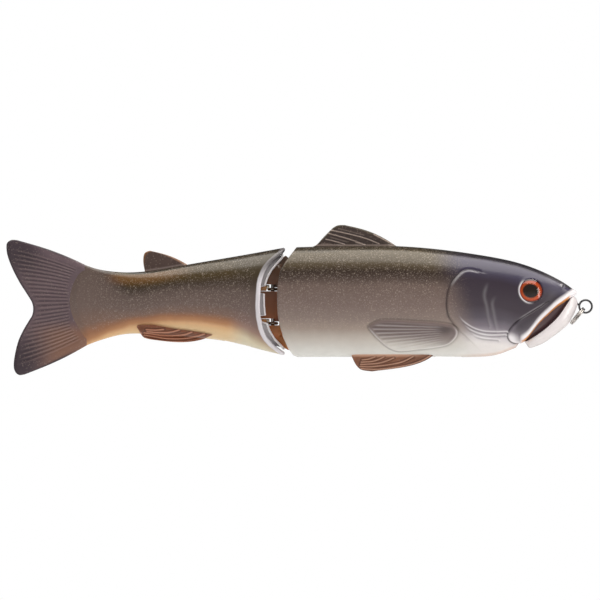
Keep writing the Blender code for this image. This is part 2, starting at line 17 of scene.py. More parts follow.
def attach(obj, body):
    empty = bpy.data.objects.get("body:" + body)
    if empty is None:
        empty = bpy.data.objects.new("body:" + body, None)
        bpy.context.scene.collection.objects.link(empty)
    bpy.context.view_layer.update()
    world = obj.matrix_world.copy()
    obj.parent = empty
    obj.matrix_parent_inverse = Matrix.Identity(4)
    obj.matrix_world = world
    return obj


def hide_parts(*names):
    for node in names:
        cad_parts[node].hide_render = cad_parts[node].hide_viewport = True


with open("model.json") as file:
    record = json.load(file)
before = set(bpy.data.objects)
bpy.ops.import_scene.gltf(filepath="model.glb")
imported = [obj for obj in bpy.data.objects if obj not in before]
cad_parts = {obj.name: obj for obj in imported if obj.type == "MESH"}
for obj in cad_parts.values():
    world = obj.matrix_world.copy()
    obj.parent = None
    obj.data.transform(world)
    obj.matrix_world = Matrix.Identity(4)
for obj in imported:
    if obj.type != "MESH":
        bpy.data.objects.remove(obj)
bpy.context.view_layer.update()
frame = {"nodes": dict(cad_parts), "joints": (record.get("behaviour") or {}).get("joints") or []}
MM = 0.001
HINGE_X = frame["joints"][0]["pos_m"][0] / MM

# %% [markdown]
# ## Curves and distances
# Everything on a fish is a smooth line seen from the side: the back, the belly, the gill cover. A natural cubic
# needs few points and never kinks, so it draws the long profiles. Shorter marks use a Catmull-Rom line, which
# passes through its points. Relief and paint then ask one question: how far is this spot from that line?


# %% Smooth profiles
def profile(points):
    """A natural cubic through (x, value) points, as a function that takes arrays."""
    x, v = np.array(sorted(points), float).T
    h = np.diff(x)
    slopes = np.diff(v) / h
    system, right = np.eye(len(x)), np.zeros(len(x))
    for i in range(1, len(x) - 1):
        system[i, i - 1 : i + 2] = h[i - 1], 2 * (h[i - 1] + h[i]), h[i]
        right[i] = 6 * (slopes[i] - slopes[i - 1])
    bend = np.linalg.solve(system, right)

    def value(at):
        at = np.asarray(at, float)
        i = np.clip(np.searchsorted(x, at) - 1, 0, len(h) - 1)
        a, b = (x[i + 1] - at) / h[i], (at - x[i]) / h[i]
        curved = ((a**3 - a) * bend[i] + (b**3 - b) * bend[i + 1]) * h[i] ** 2 / 6
        return a * v[i] + b * v[i + 1] + curved

    return value


def through(points, steps=8, closed=False):
    """A smooth line through the points, as rows of (x, z)."""
    points = [np.array(p, float) for p in points]
    if closed:
        points = [points[-1], *points, points[0], points[1]]
    else:
        points = [2 * points[0] - points[1], *points, 2 * points[-1] - points[-2]]
    out = []
    for p0, p1, p2, p3 in zip(points, points[1:], points[2:], points[3:]):
        for t in np.arange(steps) / steps:
            out.append(0.5 * (2 * p1 + (p2 - p0) * t + (2 * p0 - 5 * p1 + 4 * p2 - p3) * t**2
                              + (3 * p1 - p0 - 3 * p2 + p3) * t**3))
    out.append(points[-2])
    return np.array(out)


def along(line, share):
    """The point at each share of a line's length, 0 at its start and 1 at its end."""
    walked = np.concatenate([[0], np.cumsum(np.linalg.norm(np.diff(line, axis=0), axis=1))])
    at = np.asarray(share) * walked[-1]
    return np.stack([np.interp(at, walked, line[:, k]) for k in range(line.shape[1])], axis=-1)


print("a cubic through three points, half way:", round(float(profile([(0, 0), (1, 1), (2, 0)])(0.5)), 3))


# %% Distance from a line, and the inside of an outline
def reach(x, z, line):
    """Distance of each (x, z) from a line: positive on its left as the line runs."""
    shape = np.shape(x)
    spots = np.stack([np.ravel(x), np.ravel(z)], axis=-1)
    best = np.full(len(spots), 1e9)
    side = np.ones(len(spots))
    for a, b in zip(line, line[1:]):
        run = b - a
        share = np.clip((spots - a) @ run / max(run @ run, 1e-12), 0, 1)
        away = spots - a - share[:, None] * run
        far = np.linalg.norm(away, axis=1)
        nearer = far < best
        best[nearer] = far[nearer]
        side[nearer] = np.sign(run[0] * away[nearer, 1] - run[1] * away[nearer, 0])
    return (best * np.where(side < 0, -1, 1)).reshape(shape)


def inside(x, z, outline):
    """True for each spot inside a closed outline."""
    found = np.zeros(np.shape(x), bool)
    for a, b in zip(outline, np.roll(outline, -1, axis=0)):
        crosses = (a[1] > z) != (b[1] > z)
        rise = b[1] - a[1] if abs(b[1] - a[1]) > 1e-9 else 1e-9
        found ^= crosses & (x < a[0] + (z - a[1]) / rise * (b[0] - a[0]))
    return found


def ramp(value, low, high):
    """0 below low, 1 above high, and a smooth rise between."""
    t = np.clip((np.asarray(value, float) - low) / (high - low), 0, 1)
    return t * t * (3 - 2 * t)


def ridge(distance, width):
    """A rounded bump across a line: 1 on it and fading out at about its width."""
    return np.exp(-((distance / width) ** 2))


print("ramp half way:", float(ramp(0.5, 0, 1)))

# %% [markdown]
# ## A grid that becomes a skin
# Each skin starts as a flat grid. One direction of the grid runs from tail to nose and the other from the back
# down to the belly, and every point is moved to its place on the body. One side is enough: a mirror makes the
# other, and the middle seam is merged. A dense grid costs memory, but gill covers and fin rays then become real
# geometry, which holds up from any side, where a bump texture would look flat.


# %% Grid, mirror and finish
def grid(columns, rows):
    """A bmesh grid with its vertices in order, and the share of the way along each direction."""
    bm = bmesh.new()
    bmesh.ops.create_grid(bm, x_segments=columns, y_segments=rows, size=0.5)
    spots = np.array([v.co[:2] for v in bm.verts])
    order = np.lexsort((np.round(spots[:, 1], 6), np.round(spots[:, 0], 6)))
    wide = len(np.unique(np.round(spots[:, 0], 6)))
    order = order.reshape(wide, -1)
    bm.verts.ensure_lookup_table()
    u = np.linspace(0, 1, order.shape[0])[:, None] * np.ones(order.shape[1])
    v = np.linspace(0, 1, order.shape[1]) * np.ones((order.shape[0], 1))
    return bm, order, u, v


def place(bm, order, spots, marks=None):
    """Moves the grid to its spots, in millimetres, and stores each named mark on its vertices."""
    for index, spot in zip(order.ravel(), spots.reshape(-1, 3)):
        bm.verts[index].co = Vector(spot) * MM
    for name, values in (marks or {}).items():
        layer = bm.verts.layers.float.new(name)
        for index, value in zip(order.ravel(), np.ravel(values)):
            bm.verts[index][layer] = value


def outward(spots):
    """The surface's direction at each grid point, pointing away from the middle plane."""
    normal = np.cross(np.gradient(spots, axis=0), np.gradient(spots, axis=1))
    normal /= np.maximum(np.linalg.norm(normal, axis=-1, keepdims=True), 1e-9)
    middle = normal.shape[0] // 2, normal.shape[1] // 2
    return normal if normal[middle][1] < 0 else -normal


def mirrored(bm):
    """Adds the other side across the middle plane and welds the seam."""
    bmesh.ops.mirror(bm, geom=[*bm.verts, *bm.edges, *bm.faces], axis="Y", merge_dist=0.00002)
    bmesh.ops.remove_doubles(bm, verts=bm.verts, dist=0.000004)


def piece(name, bm, body, look, *stands_for, slot=None):
    """Turns a bmesh into a finished piece that rides on a body and stands for CAD nodes."""
    bmesh.ops.recalc_face_normals(bm, faces=bm.faces)
    mesh = bpy.data.meshes.new(name)
    bm.to_mesh(mesh)
    open_edges = sum(1 for e in bm.edges if len(e.link_faces) != 2)
    count = sum(len(f.verts) - 2 for f in bm.faces)
    bm.free()
    mesh.shade_smooth()
    mesh.set_sharp_from_angle(angle=math.radians(50))
    made = bpy.data.objects.new(name, mesh)
    bpy.context.scene.collection.objects.link(made)
    mesh.materials.append(look)
    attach(made, body)
    if stands_for:
        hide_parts(*stands_for)
    print(f"{name}: {count} triangles, {open_edges} open edges, rides on {body}")


# %% [markdown]
# ## Paint and plastic
# The skins are airbrushed: soft bands of colour that follow the fish's height, over a clear rubber full of fine
# glitter. Bands are stored on the mesh as marks, so they follow the belly line. The material turns a mark into
# colour with a ramp, adds a cloudy variation, and scatters glitter from the cells of a Voronoi texture. The other
# finishes share one small helper that sets a shader's sockets by name.


# %% Helpers for node materials
def shader(name, **sockets):
    """A new material with a Principled shader, whose sockets are set by their names."""
    look = bpy.data.materials.new(name)
    look.use_nodes = True
    surface = look.node_tree.nodes["Principled BSDF"]
    for socket, value in sockets.items():
        surface.inputs[socket.replace("_", " ")].default_value = value
    return look, look.node_tree, surface


def node(tree, kind, inputs=None, **settings):
    """Adds a node, sets its properties, and links or sets its inputs."""
    made = tree.nodes.new(kind)
    for key, value in settings.items():
        setattr(made, key, value)
    for key, value in (inputs or {}).items():
        if isinstance(value, bpy.types.NodeSocket):
            tree.links.new(value, made.inputs[key])
        else:
            made.inputs[key].default_value = value
    return made


def ramp_node(tree, factor, stops):
    """A colour ramp through (position, (r, g, b)) stops."""
    made = node(tree, "ShaderNodeValToRGB", {"Fac": factor})
    points = made.color_ramp.elements
    while len(points) < len(stops):
        points.new(0.5)
    for point, (at, colour) in zip(points, sorted(stops)):
        point.position = at
        point.color = (*colour, 1)
    return made.outputs["Color"]


def mixed(tree, factor, a, b, blend="MIX"):
    """Colour a, with b laid over it by the factor."""
    made = node(tree, "ShaderNodeMix", data_type="RGBA", blend_type=blend)
    for socket, value in ((made.inputs[0], factor), (made.inputs[6], a), (made.inputs[7], b)):
        if isinstance(value, bpy.types.NodeSocket):
            tree.links.new(value, socket)
        elif isinstance(value, tuple):
            socket.default_value = (*value, 1)
        else:
            socket.default_value = value
    return made.outputs[2]


def sums(tree, kind, *values):
    """One step of arithmetic on two or three values."""
    return node(tree, "ShaderNodeMath", dict(enumerate(values)), operation=kind).outputs[0]


def mark(tree, name):
    return node(tree, "ShaderNodeAttribute", attribute_name=name).outputs["Fac"]


def spots_on(tree):
    return node(tree, "ShaderNodeTexCoord").outputs["Object"]


def noise(tree, scale, detail=3.0, roughness=0.5):
    return node(tree, "ShaderNodeTexNoise", {"Vector": spots_on(tree), "Scale": scale, "Detail": detail,
                                             "Roughness": roughness}).outputs["Fac"]


def coat(tree, surface, colour, grain, detail=2, strength=0.1, depth=0.0002):
    """Gives a surface its colour and a raised grain. A larger grain number makes finer grain."""
    tree.links.new(colour, surface.inputs["Base Color"])
    made = node(tree, "ShaderNodeBump", {"Height": noise(tree, grain, detail), "Strength": strength,
                                         "Distance": depth})
    tree.links.new(made.outputs["Normal"], surface.inputs["Normal"])


print("helpers ready")


# %% Glitter in clear rubber
def glitter(tree, size, share):
    """1 on flakes of about that size in metres. share is how many of the cells hold a flake."""
    cells = node(tree, "ShaderNodeTexVoronoi", {"Vector": spots_on(tree), "Scale": 1 / size, "Randomness": 1.0})
    chance = node(tree, "ShaderNodeSeparateColor", {"Color": cells.outputs["Color"]})
    lucky = sums(tree, "GREATER_THAN", chance.outputs[0], 1 - share)
    near = sums(tree, "LESS_THAN", cells.outputs["Distance"], 0.42)
    strength = sums(tree, "MULTIPLY_ADD", chance.outputs[1], 0.7, 0.3)
    return sums(tree, "MULTIPLY", sums(tree, "MULTIPLY", lucky, near), strength)


def painted_skin(name, pale, body_stops, head_stops=None):
    """Airbrushed soft skin. The band mark gives the height above the belly line."""
    look, tree, surface = shader(name, Roughness=0.27, IOR=1.42, Coat_Weight=0.12, Coat_Roughness=0.12)
    soft = sums(tree, "MULTIPLY_ADD", noise(tree, 90, 4), 0.03, -0.015)
    band = sums(tree, "ADD", mark(tree, "band"), soft)
    paint = ramp_node(tree, band, body_stops)
    if head_stops:
        paint = mixed(tree, mark(tree, "head"), paint, ramp_node(tree, band, head_stops))
    paint = mixed(tree, sums(tree, "MULTIPLY", noise(tree, 260, 5, 0.65), 0.16), paint, (0.05, 0.04, 0.035))
    flakes = sums(tree, "MULTIPLY", glitter(tree, 0.00075, 0.26), mark(tree, "flake"))
    paint = mixed(tree, sums(tree, "MULTIPLY", flakes, 0.24), paint, (0.56, 0.46, 0.37))
    fine = sums(tree, "MULTIPLY", glitter(tree, 0.00045, 0.5), mark(tree, "flake"))
    paint = mixed(tree, sums(tree, "MULTIPLY", fine, 0.26), paint, (0.50, 0.41, 0.36))
    paint = mixed(tree, mark(tree, "fin"), paint, (0.150, 0.108, 0.108))
    # Painted shade: this mark darkens creases, hollows, the eye's seat and the bead's top; on the jaw plate it is
    # the paint's own darker tone.
    paint = mixed(tree, mark(tree, "shade_and_dark_tone"), paint, (0.022, 0.016, 0.020))
    # The pale mark is white paint on the lips and the tail's bead, and painted highlight on lit ridges, fold sides,
    # the eye's rim and the nostril.
    paint = mixed(tree, mark(tree, "pale"), paint, pale)
    paint = mixed(tree, mark(tree, "gilt"), paint, (0.66, 0.27, 0.085))
    coat(tree, surface, paint, 900, strength=0.12)
    return look


# The band mark is 0.5 on the belly line and 1 along the back. High in each ramp, the dark band under the back's
# highlight is partly the paint's own tone and partly painted shade, and the darkest stops at the very top are a
# painted dark outline along the back.
front_paint = painted_skin(
    "Airbrushed front skin", (0.86, 0.83, 0.86),
    [(0.40, (0.76, 0.76, 0.73)), (0.48, (0.58, 0.53, 0.48)), (0.54, (0.37, 0.295, 0.25)),
     (0.60, (0.255, 0.195, 0.17)), (0.68, (0.192, 0.138, 0.120)), (0.78, (0.150, 0.106, 0.090)),
     (0.825, (0.070, 0.049, 0.041)), (0.86, (0.038, 0.025, 0.018)), (0.90, (0.070, 0.050, 0.026)),
     (0.965, (0.086, 0.062, 0.028)), (0.985, (0.030, 0.021, 0.009)), (1.0, (0.018, 0.012, 0.005))],
    [(0.44, (0.84, 0.80, 0.79)), (0.48, (0.68, 0.64, 0.67)), (0.51, (0.40, 0.365, 0.40)),
     (0.545, (0.20, 0.175, 0.21)), (0.60, (0.098, 0.083, 0.105)), (0.68, (0.054, 0.041, 0.054)),
     (0.84, (0.040, 0.030, 0.043)), (0.90, (0.050, 0.043, 0.076)), (0.962, (0.056, 0.048, 0.092)),
     (0.982, (0.018, 0.014, 0.022)), (1.0, (0.010, 0.008, 0.011))],
)
rear_paint = painted_skin(
    "Airbrushed tail skin", (0.70, 0.67, 0.71),
    [(0.38, (0.80, 0.62, 0.38)), (0.44, (0.80, 0.55, 0.30)), (0.465, (0.74, 0.44, 0.22)),
     (0.485, (0.50, 0.235, 0.105)), (0.51, (0.34, 0.155, 0.078)), (0.55, (0.215, 0.130, 0.098)),
     (0.62, (0.160, 0.112, 0.096)), (0.74, (0.120, 0.086, 0.074)), (0.81, (0.058, 0.041, 0.031)),
     (0.87, (0.052, 0.033, 0.010)), (0.965, (0.055, 0.036, 0.009)), (0.985, (0.026, 0.018, 0.006)),
     (1.0, (0.016, 0.011, 0.005))],
    [(0.38, (0.78, 0.72, 0.56)), (0.44, (0.72, 0.64, 0.46)), (0.47, (0.52, 0.40, 0.28)),
     (0.50, (0.34, 0.215, 0.17)), (0.54, (0.225, 0.140, 0.120)), (0.62, (0.160, 0.112, 0.100)),
     (0.74, (0.120, 0.086, 0.074)), (0.81, (0.058, 0.041, 0.031)), (0.87, (0.050, 0.036, 0.018)),
     (0.965, (0.052, 0.038, 0.017)), (0.985, (0.026, 0.018, 0.008)), (1.0, (0.016, 0.011, 0.005))],
)
print("paints ready")

# %% [markdown]
# ## The front half's form
# The half fish is drawn by four lines: the back, the belly, the width seen from above, and the edge at the joint.
# Between them each slice is a rounded oval, a superellipse a little fuller than an ellipse. The lower edge of the
# head is the upper lip, so there the slice has an almost upright side and a flat underside.

# %% The front half's lines
BACK = profile([(-150, 25.0), (-129, 25.8), (-107, 26.4), (-81, 26.3), (-55, 23.8), (-41, 21.6), (-30, 19.2),
                (-20, 15.7), (-12.9, 12.3), (-7.5, 9.0), (-4.2, 6.4)])
THROAT = profile([(-150, -22.1), (-129, -22.1), (-60, -22.1), (-46, -22.0), (-37, -20.6), (-33.9, -19.4),
                  (-30.6, -18.1)])
LIP = profile([(-29.2, -16.2), (-26.6, -14.7), (-21.0, -8.0), (-16.8, -4.0), (-13.4, -0.9), (-9.3, 2.0),
               (-6.6, 3.8), (-4.2, 5.2)])
WIDTH = profile([(-150, 13.6), (-129, 14.3), (-105, 15.6), (-80, 16.0), (-55, 15.4), (-38, 13.5), (-24, 10.9),
                 (-15, 8.4), (-8, 5.4), (-4.2, 2.4)])
FRONT_EDGE = np.array([(-22.1, -125.9), (-21.5, -127.5), (-18.6, -129.7), (-13.8, -131.8), (-8.6, -133.3),
                       (-3.8, -134.2), (2.8, -134.5), (9.4, -134.3), (15.0, -133.4), (18.0, -131.8),
                       (20.0, -130.5), (22.0, -129.0), (24.0, -127.4), (26.0, -125.9)])
NOSE, NECK, OPEN_END = -4.2, -66.0, -134.9


def underside(x):
    """The throat behind the mouth, the lip in front of it, and a step between them."""
    step = np.interp(x, [-30.6, -29.2], [float(THROAT(-30.6)), float(LIP(-29.2))])
    return np.where(x < -30.6, THROAT(x), np.where(x > -29.2, LIP(x), step))


FULLNESS = 2.25  # the superellipse's power: 2 is an ellipse, and more is fuller


def oval(x, angle, top, low, width, below=FULLNESS):
    """Points of a slice: angle 90 degrees is the back, 0 the flank and -90 the belly."""
    power = 2 / np.where(angle > 0, FULLNESS, below)
    middle, half = (top + low) / 2, (top - low) / 2
    y = -width * np.abs(np.cos(angle)) ** power
    z = middle + half * np.sign(angle) * np.abs(np.sin(angle)) ** power
    return np.stack([x * np.ones_like(y), y, z], axis=-1)


def front_form(x, angle):
    """The plain front half. Its lip is squarer below, and the angle is eased so that the rows stay even."""
    below = FULLNESS + 2.2 * ramp(x, -31, -27)
    even = -np.arcsin(np.abs(np.sin(angle)) ** (below / FULLNESS))
    return oval(x, np.where(angle < 0, even, angle), BACK(x), underside(x), WIDTH(x), below=below)


deepest, widest = BACK(-81) - THROAT(-81), 2 * WIDTH(-80)
print("deepest slice:", round(float(deepest), 1), "mm, widest:", round(float(widest), 1), "mm")

# %% [markdown]
# ## What is moulded in the head
# The mould cuts a gill cover, branching creases under it, two folds in the cheek, the leaf-shaped jaw plate and
# the lips, and lays a pectoral fin flat along the flank. Each is a line or an outline seen from the side. The
# relief adds a step, a crease or a ridge along the skin's own direction, and the same distances drive the paint.

# %% Lines of the head and the pectoral fin
GILL = through([(-46.9, 14.9), (-51.6, 15.7), (-55.2, 14.2), (-59.4, 8.8), (-60.8, 2.1), (-60.1, -3.7),
                (-57.9, -7.3), (-55.2, -10.4), (-52.1, -13.5)])
THROAT_FOLDS = [
    through([(-56.4, -4.6), (-54.2, -7.0), (-50.3, -9.6), (-45.8, -11.2), (-41.0, -11.7), (-35.1, -11.6)]),
    through([(-54.2, -8.2), (-50.7, -10.9), (-45.8, -12.7), (-41.0, -13.2), (-35.6, -13.0)]),
    through([(-51.2, -11.4), (-48.9, -13.2), (-44.9, -14.5), (-38.7, -15.0)]),
]
CHEEK_FOLDS = [
    through([(-43.8, 11.3), (-45.5, 5.2), (-44.5, -0.1), (-43.8, -4.5), (-42.7, -8.6)]),
    through([(-40.4, 5.4), (-42.0, 1.7), (-41.4, -2.8), (-40.5, -7.3), (-39.6, -10.8)]),
]
JAW_PLATE = through([(-16.6, 2.2), (-20.4, -0.2), (-24.4, -2.6), (-28.8, -5.4), (-31.9, -7.9), (-34.0, -10.9),
                     (-34.5, -13.1), (-33.4, -15.3), (-31.2, -16.4), (-29.1, -16.4)])
PECTORAL = through([(-95.1, -8.8), (-92.2, -6.8), (-89.3, -5.9), (-82.0, -5.9), (-74.8, -6.4), (-67.5, -6.8),
                    (-61.0, -7.5), (-58.0, -8.4), (-56.6, -10.3), (-56.7, -12.6), (-58.4, -15.0),
                    (-61.0, -16.8), (-65.7, -17.9), (-74.8, -19.0), (-81.3, -19.6), (-84.2, -19.0),
                    (-87.1, -17.5), (-90.0, -15.0), (-92.9, -12.1)], closed=True)
EYE_MIDDLE, EYE_RADIUS, SEAT_DEPTH = (-24.1, -10.2, 6.9), 5.0, 1.1
EYE_FACING = Vector((0.20, -1.0, 0.19)).normalized()
EYE = np.array([EYE_MIDDLE[0], EYE_MIDDLE[2]])
NOSTRIL = np.array([-10.3, 8.7])
HOOK_SLOT = {"front": -60.0, "rear": -152.0}
print("gill cover from", GILL[0], "to", GILL[-1])


# %% Relief of the front skin
def front_relief(x, z):
    """Height over the plain form, in millimetres, and the marks that the paint reads."""
    gill = reach(x, z, GILL)
    near_gill = ramp(x, -66, -61) * ramp(-x, 42, 50)
    height = 0.55 * ramp(gill, -0.45, 0.35) * np.exp(-np.maximum(gill, 0) / 5) * near_gill
    height -= 0.28 * ridge(gill + 0.55, 0.5)
    # Painted shade in the gill groove, and a painted highlight along the gill cover's upper edge.
    shade_and_dark_tone = 0.75 * ridge(gill + 0.42, 0.30) * ramp(z, -9, -4)
    pale = 0.30 * ridge(gill - 0.50, 0.28) * ramp(z, 7, 13) * ramp(-x, 46.2, 49)
    # Depth and width of each crease, how dark the painted shade in its bottom is, and how pale and wide the painted
    # highlight on its lit side is.
    throat, cheek = (0.42, 0.55, 0.36, 0.66, 0.30), (0.22, 0.85, 0.16, 0.10, 0.7)
    for line, fold in [(f, throat) for f in THROAT_FOLDS] + [(f, cheek) for f in CHEEK_FOLDS]:
        depth, wide, dark, light, light_wide = fold
        first_x, first_z = line[0]
        away = reach(x, z, line)
        start = ramp(x, first_x, first_x + 4.5) if fold is throat else ramp(-z, -first_z, -first_z + 5)
        height -= depth * ridge(away, wide) * start
        height += 0.5 * depth * ridge(away - 1.1, 0.6) * start
        shade_and_dark_tone = np.maximum(shade_and_dark_tone, dark * ridge(away, 0.35) * start)
        pale = np.maximum(pale, light * ridge(away - 0.75, light_wide) * start)
    plate = reach(x, z, JAW_PLATE)
    height -= 0.45 * ridge(plate, 0.42)
    swell = ramp(plate, 0.1, 0.9) * np.exp(-np.maximum(plate, 0) / 3)
    height += 0.35 * swell * ramp(x, -36, -33) * ramp(-x, 16, 20)
    crest = ramp(x, -31, -27) * ramp(-x, 17, 20)
    # Painted shade in the jaw plate's crease, and a painted highlight along its crest.
    shade_and_dark_tone = np.maximum(shade_and_dark_tone, 0.9 * ridge(plate, 0.30) * (1 - 0.75 * crest))
    pale = np.maximum(pale, 0.20 * ridge(plate + 0.35, 0.30) * crest)
    from_eye = np.hypot(x - EYE[0], z - EYE[1])
    behind = ramp(-(x - EYE[0]) - 0.35 * (z - EYE[1]), 0.5, 4.5)
    height += (0.10 + 0.30 * behind) * ridge(from_eye - EYE_RADIUS - 0.55, 0.55)
    height = np.where(from_eye < EYE_RADIUS, np.minimum(height, 0.1), height)
    # Painted shade inside the eye's seat, and a painted highlight: a pale crescent on the rim behind the eye.
    shade_and_dark_tone = np.maximum(shade_and_dark_tone, 0.9 * ramp(-from_eye, -EYE_RADIUS + 0.05, -EYE_RADIUS + 0.25))
    pale = np.maximum(pale, 0.85 * behind * ridge(from_eye - EYE_RADIUS - 0.42, 0.34))
    # A faint painted highlight on the snout above the lip.
    pale = np.maximum(pale, 0.05 * ramp(x, -22, -14) * ramp(z - LIP(x), 3, 8))
    nose = np.hypot(x - NOSTRIL[0], (z - NOSTRIL[1]) * 1.2)
    height += 0.35 * ridge(nose - 0.95, 0.45) - 0.7 * ridge(nose, 0.6)
    # Painted shade in the nostril, and a painted glint beside it.
    shade_and_dark_tone = np.maximum(shade_and_dark_tone, 0.75 * ridge(nose, 0.45))
    pale = np.maximum(pale, 0.85 * ridge(np.hypot(x - NOSTRIL[0] + 0.6, z - NOSTRIL[1] - 0.4), 0.5))
    from_lip = (z - LIP(x)) * np.cos(np.arctan(1.05)) + 50 * (x < -29.4)
    height += 0.35 * ridge(from_lip - 1.2, 1.1)
    fade = ramp(-from_lip, -2.9, -1.6)
    pale = np.maximum(pale, 0.97 * fade * ramp(x, -29.4, -28.0))
    rear_jaw = ramp(-(x + 0.9 * (z + 14)), 27.5, 33) * ramp(plate, 0.1, 0.8) * (x < -24)
    pale = np.maximum(pale, 0.85 * ramp(-z, 10.4, 13.6) * rear_jaw)
    on_plate = ramp(plate, 0.3, 2.5) * ramp(z, -12.5, -9.5) * ramp(from_lip, 1.5, 4) * (x < -12)
    shade_and_dark_tone = np.maximum(shade_and_dark_tone, 0.35 * on_plate)
    gilt = ramp(-from_lip, -1.15, -0.80) * ramp(x, -29, -27.5) * ramp(-x, 6.6, 8.2)
    gilt = np.maximum(gilt, 0.35 * ramp(-(z - THROAT(x)), -1.8, -0.3) * ramp(x, -62, -42) * (x < -29.5))
    return height, shade_and_dark_tone, pale, gilt


def pectoral_relief(x, z):
    """The flat fin on the flank: a raised leaf with rays that spread from its root."""
    edge = np.abs(reach(x, z, PECTORAL))
    within = inside(x, z, PECTORAL)
    depth = np.where(within, edge, -edge)
    turn = np.degrees(np.arctan2(-(z + 9.9), -(x + 36.0)))
    rays = np.cos(2 * np.pi * (turn - 1.7) / 1.8)
    spread = ramp(depth, 0.8, 1.8) * ramp(-x, 61.5, 67.0)
    height = 0.62 * ramp(depth, -0.25, 0.75) * (0.35 + 0.65 * ramp(-x, 50, 80))
    height += 0.32 * ramp(depth, -0.2, 0.5) * ramp(x, -66, -59)
    height -= 0.30 * ramp(depth, 0.8, 2.0)
    height += 0.15 * rays * spread
    height -= 0.22 * ridge(depth + 0.45, 0.4)
    # Painted shade in the hollows between rays, in a line round the raised edge and at the root; painted highlight
    # along the lower rim and on the ray crests.
    shade_and_dark_tone = np.clip(-rays, 0, 1) * spread * 0.42 * ramp(z, -18, -11) + 0.40 * ridge(depth + 0.35, 0.3)
    root = ramp(depth, 0.5, 2.0) * ramp(-np.hypot((x + 62.0) / 1.6, z + 9.6), -4.0, -0.5)
    shade_and_dark_tone = np.maximum(shade_and_dark_tone, 0.55 * root)
    pale = 0.42 * ridge(depth - 0.35, 0.35) * ramp(-z, 8, 12) + 0.20 * np.clip(rays, 0, 1) * spread
    tint = ramp(depth, -0.2, 0.5) * ramp(z - np.interp(x, [-95, -58], [-12.5, -16.0]), -4.0, 3.0)
    return height, shade_and_dark_tone, pale, 0.8 * tint


print("relief at the gill:", np.round(front_relief(np.array([-61.0, -60.0]), np.array([0.0, 0.0]))[0], 2), "mm")

# %% [markdown]
# ## The front skin
# The grid has its finest columns in the head, where the detail is. At the joint the open end is rolled in: the
# edge is extruded round a small radius, then inwards along the wall, and a last face closes it. So the skin is a
# closed solid with a soft rounded mouth, as thick as the rubber really is.


# %% Belly line, slots and open ends
def belly_line(x):
    """Where the pale belly starts on the front half."""
    return np.interp(x, [-135, -100, -70, -55, -45, -36, -28, -20],
                     [-12.6, -13.2, -13.4, -12.0, -11.4, -12.4, -16, -16])


def band_of(z, line, top):
    """0.5 on the line, 1 at the top, and falling by 0.0125 for each millimetre under the line."""
    return np.clip(0.5 + np.where(z > line, 0.5 * (z - line) / (top - line), 0.0125 * (z - line)), 0, 1)


def hook_slot(spots, middle, depth, under):
    """Pushes a narrow slot up into the belly, where a hook hangs on its cross pin."""
    slot = ramp(-np.abs(spots[..., 0] - middle), -5.6, -5.1) * ramp(-np.abs(spots[..., 1]), -1.9, -1.5)
    spots[..., 2] += depth * (slot * (spots[..., 2] < under))


def only(geometry, kind):
    """The vertices, or the edges, that a bmesh operator gives back among other things."""
    return [g for g in geometry if isinstance(g, kind)]


def open_rim(bm, keep):
    """The edges of an open end that pass a test."""
    return [e for e in bm.edges if len(e.link_faces) == 1 and keep(e)]


def roll_in(bm, loop_edges, steps, towards):
    """Extrudes a rim through steps of (inwards, along) in millimetres, and closes the last one."""
    rim = dict.fromkeys(v for e in loop_edges for v in e.verts)
    start = {v: v.co.copy() for v in rim}
    middle = Vector((0, 0, sum(v.co.z for v in rim) / len(rim)))
    inwards = {v: (Vector((0, -v.co.y, middle.z - v.co.z))).normalized() for v in rim}
    source = {v: v for v in rim}
    edges = loop_edges
    for inward, forward in steps:
        edges = only(bmesh.ops.extrude_edge_only(bm, edges=edges)["geom"], bmesh.types.BMEdge)
        fresh = dict.fromkeys(v for e in edges for v in e.verts)
        follow = {}
        for v in fresh:
            before = next(e.other_vert(v) for e in v.link_edges if e.other_vert(v) in source and e not in edges)
            follow[v] = source[before]
            v.co = start[follow[v]] + inwards[follow[v]] * inward * MM + Vector((towards * forward * MM, 0, 0))
        source = follow
    bmesh.ops.contextual_create(bm, geom=edges)


print("pale belly from z =", float(belly_line(-80)), "mm at mid body")


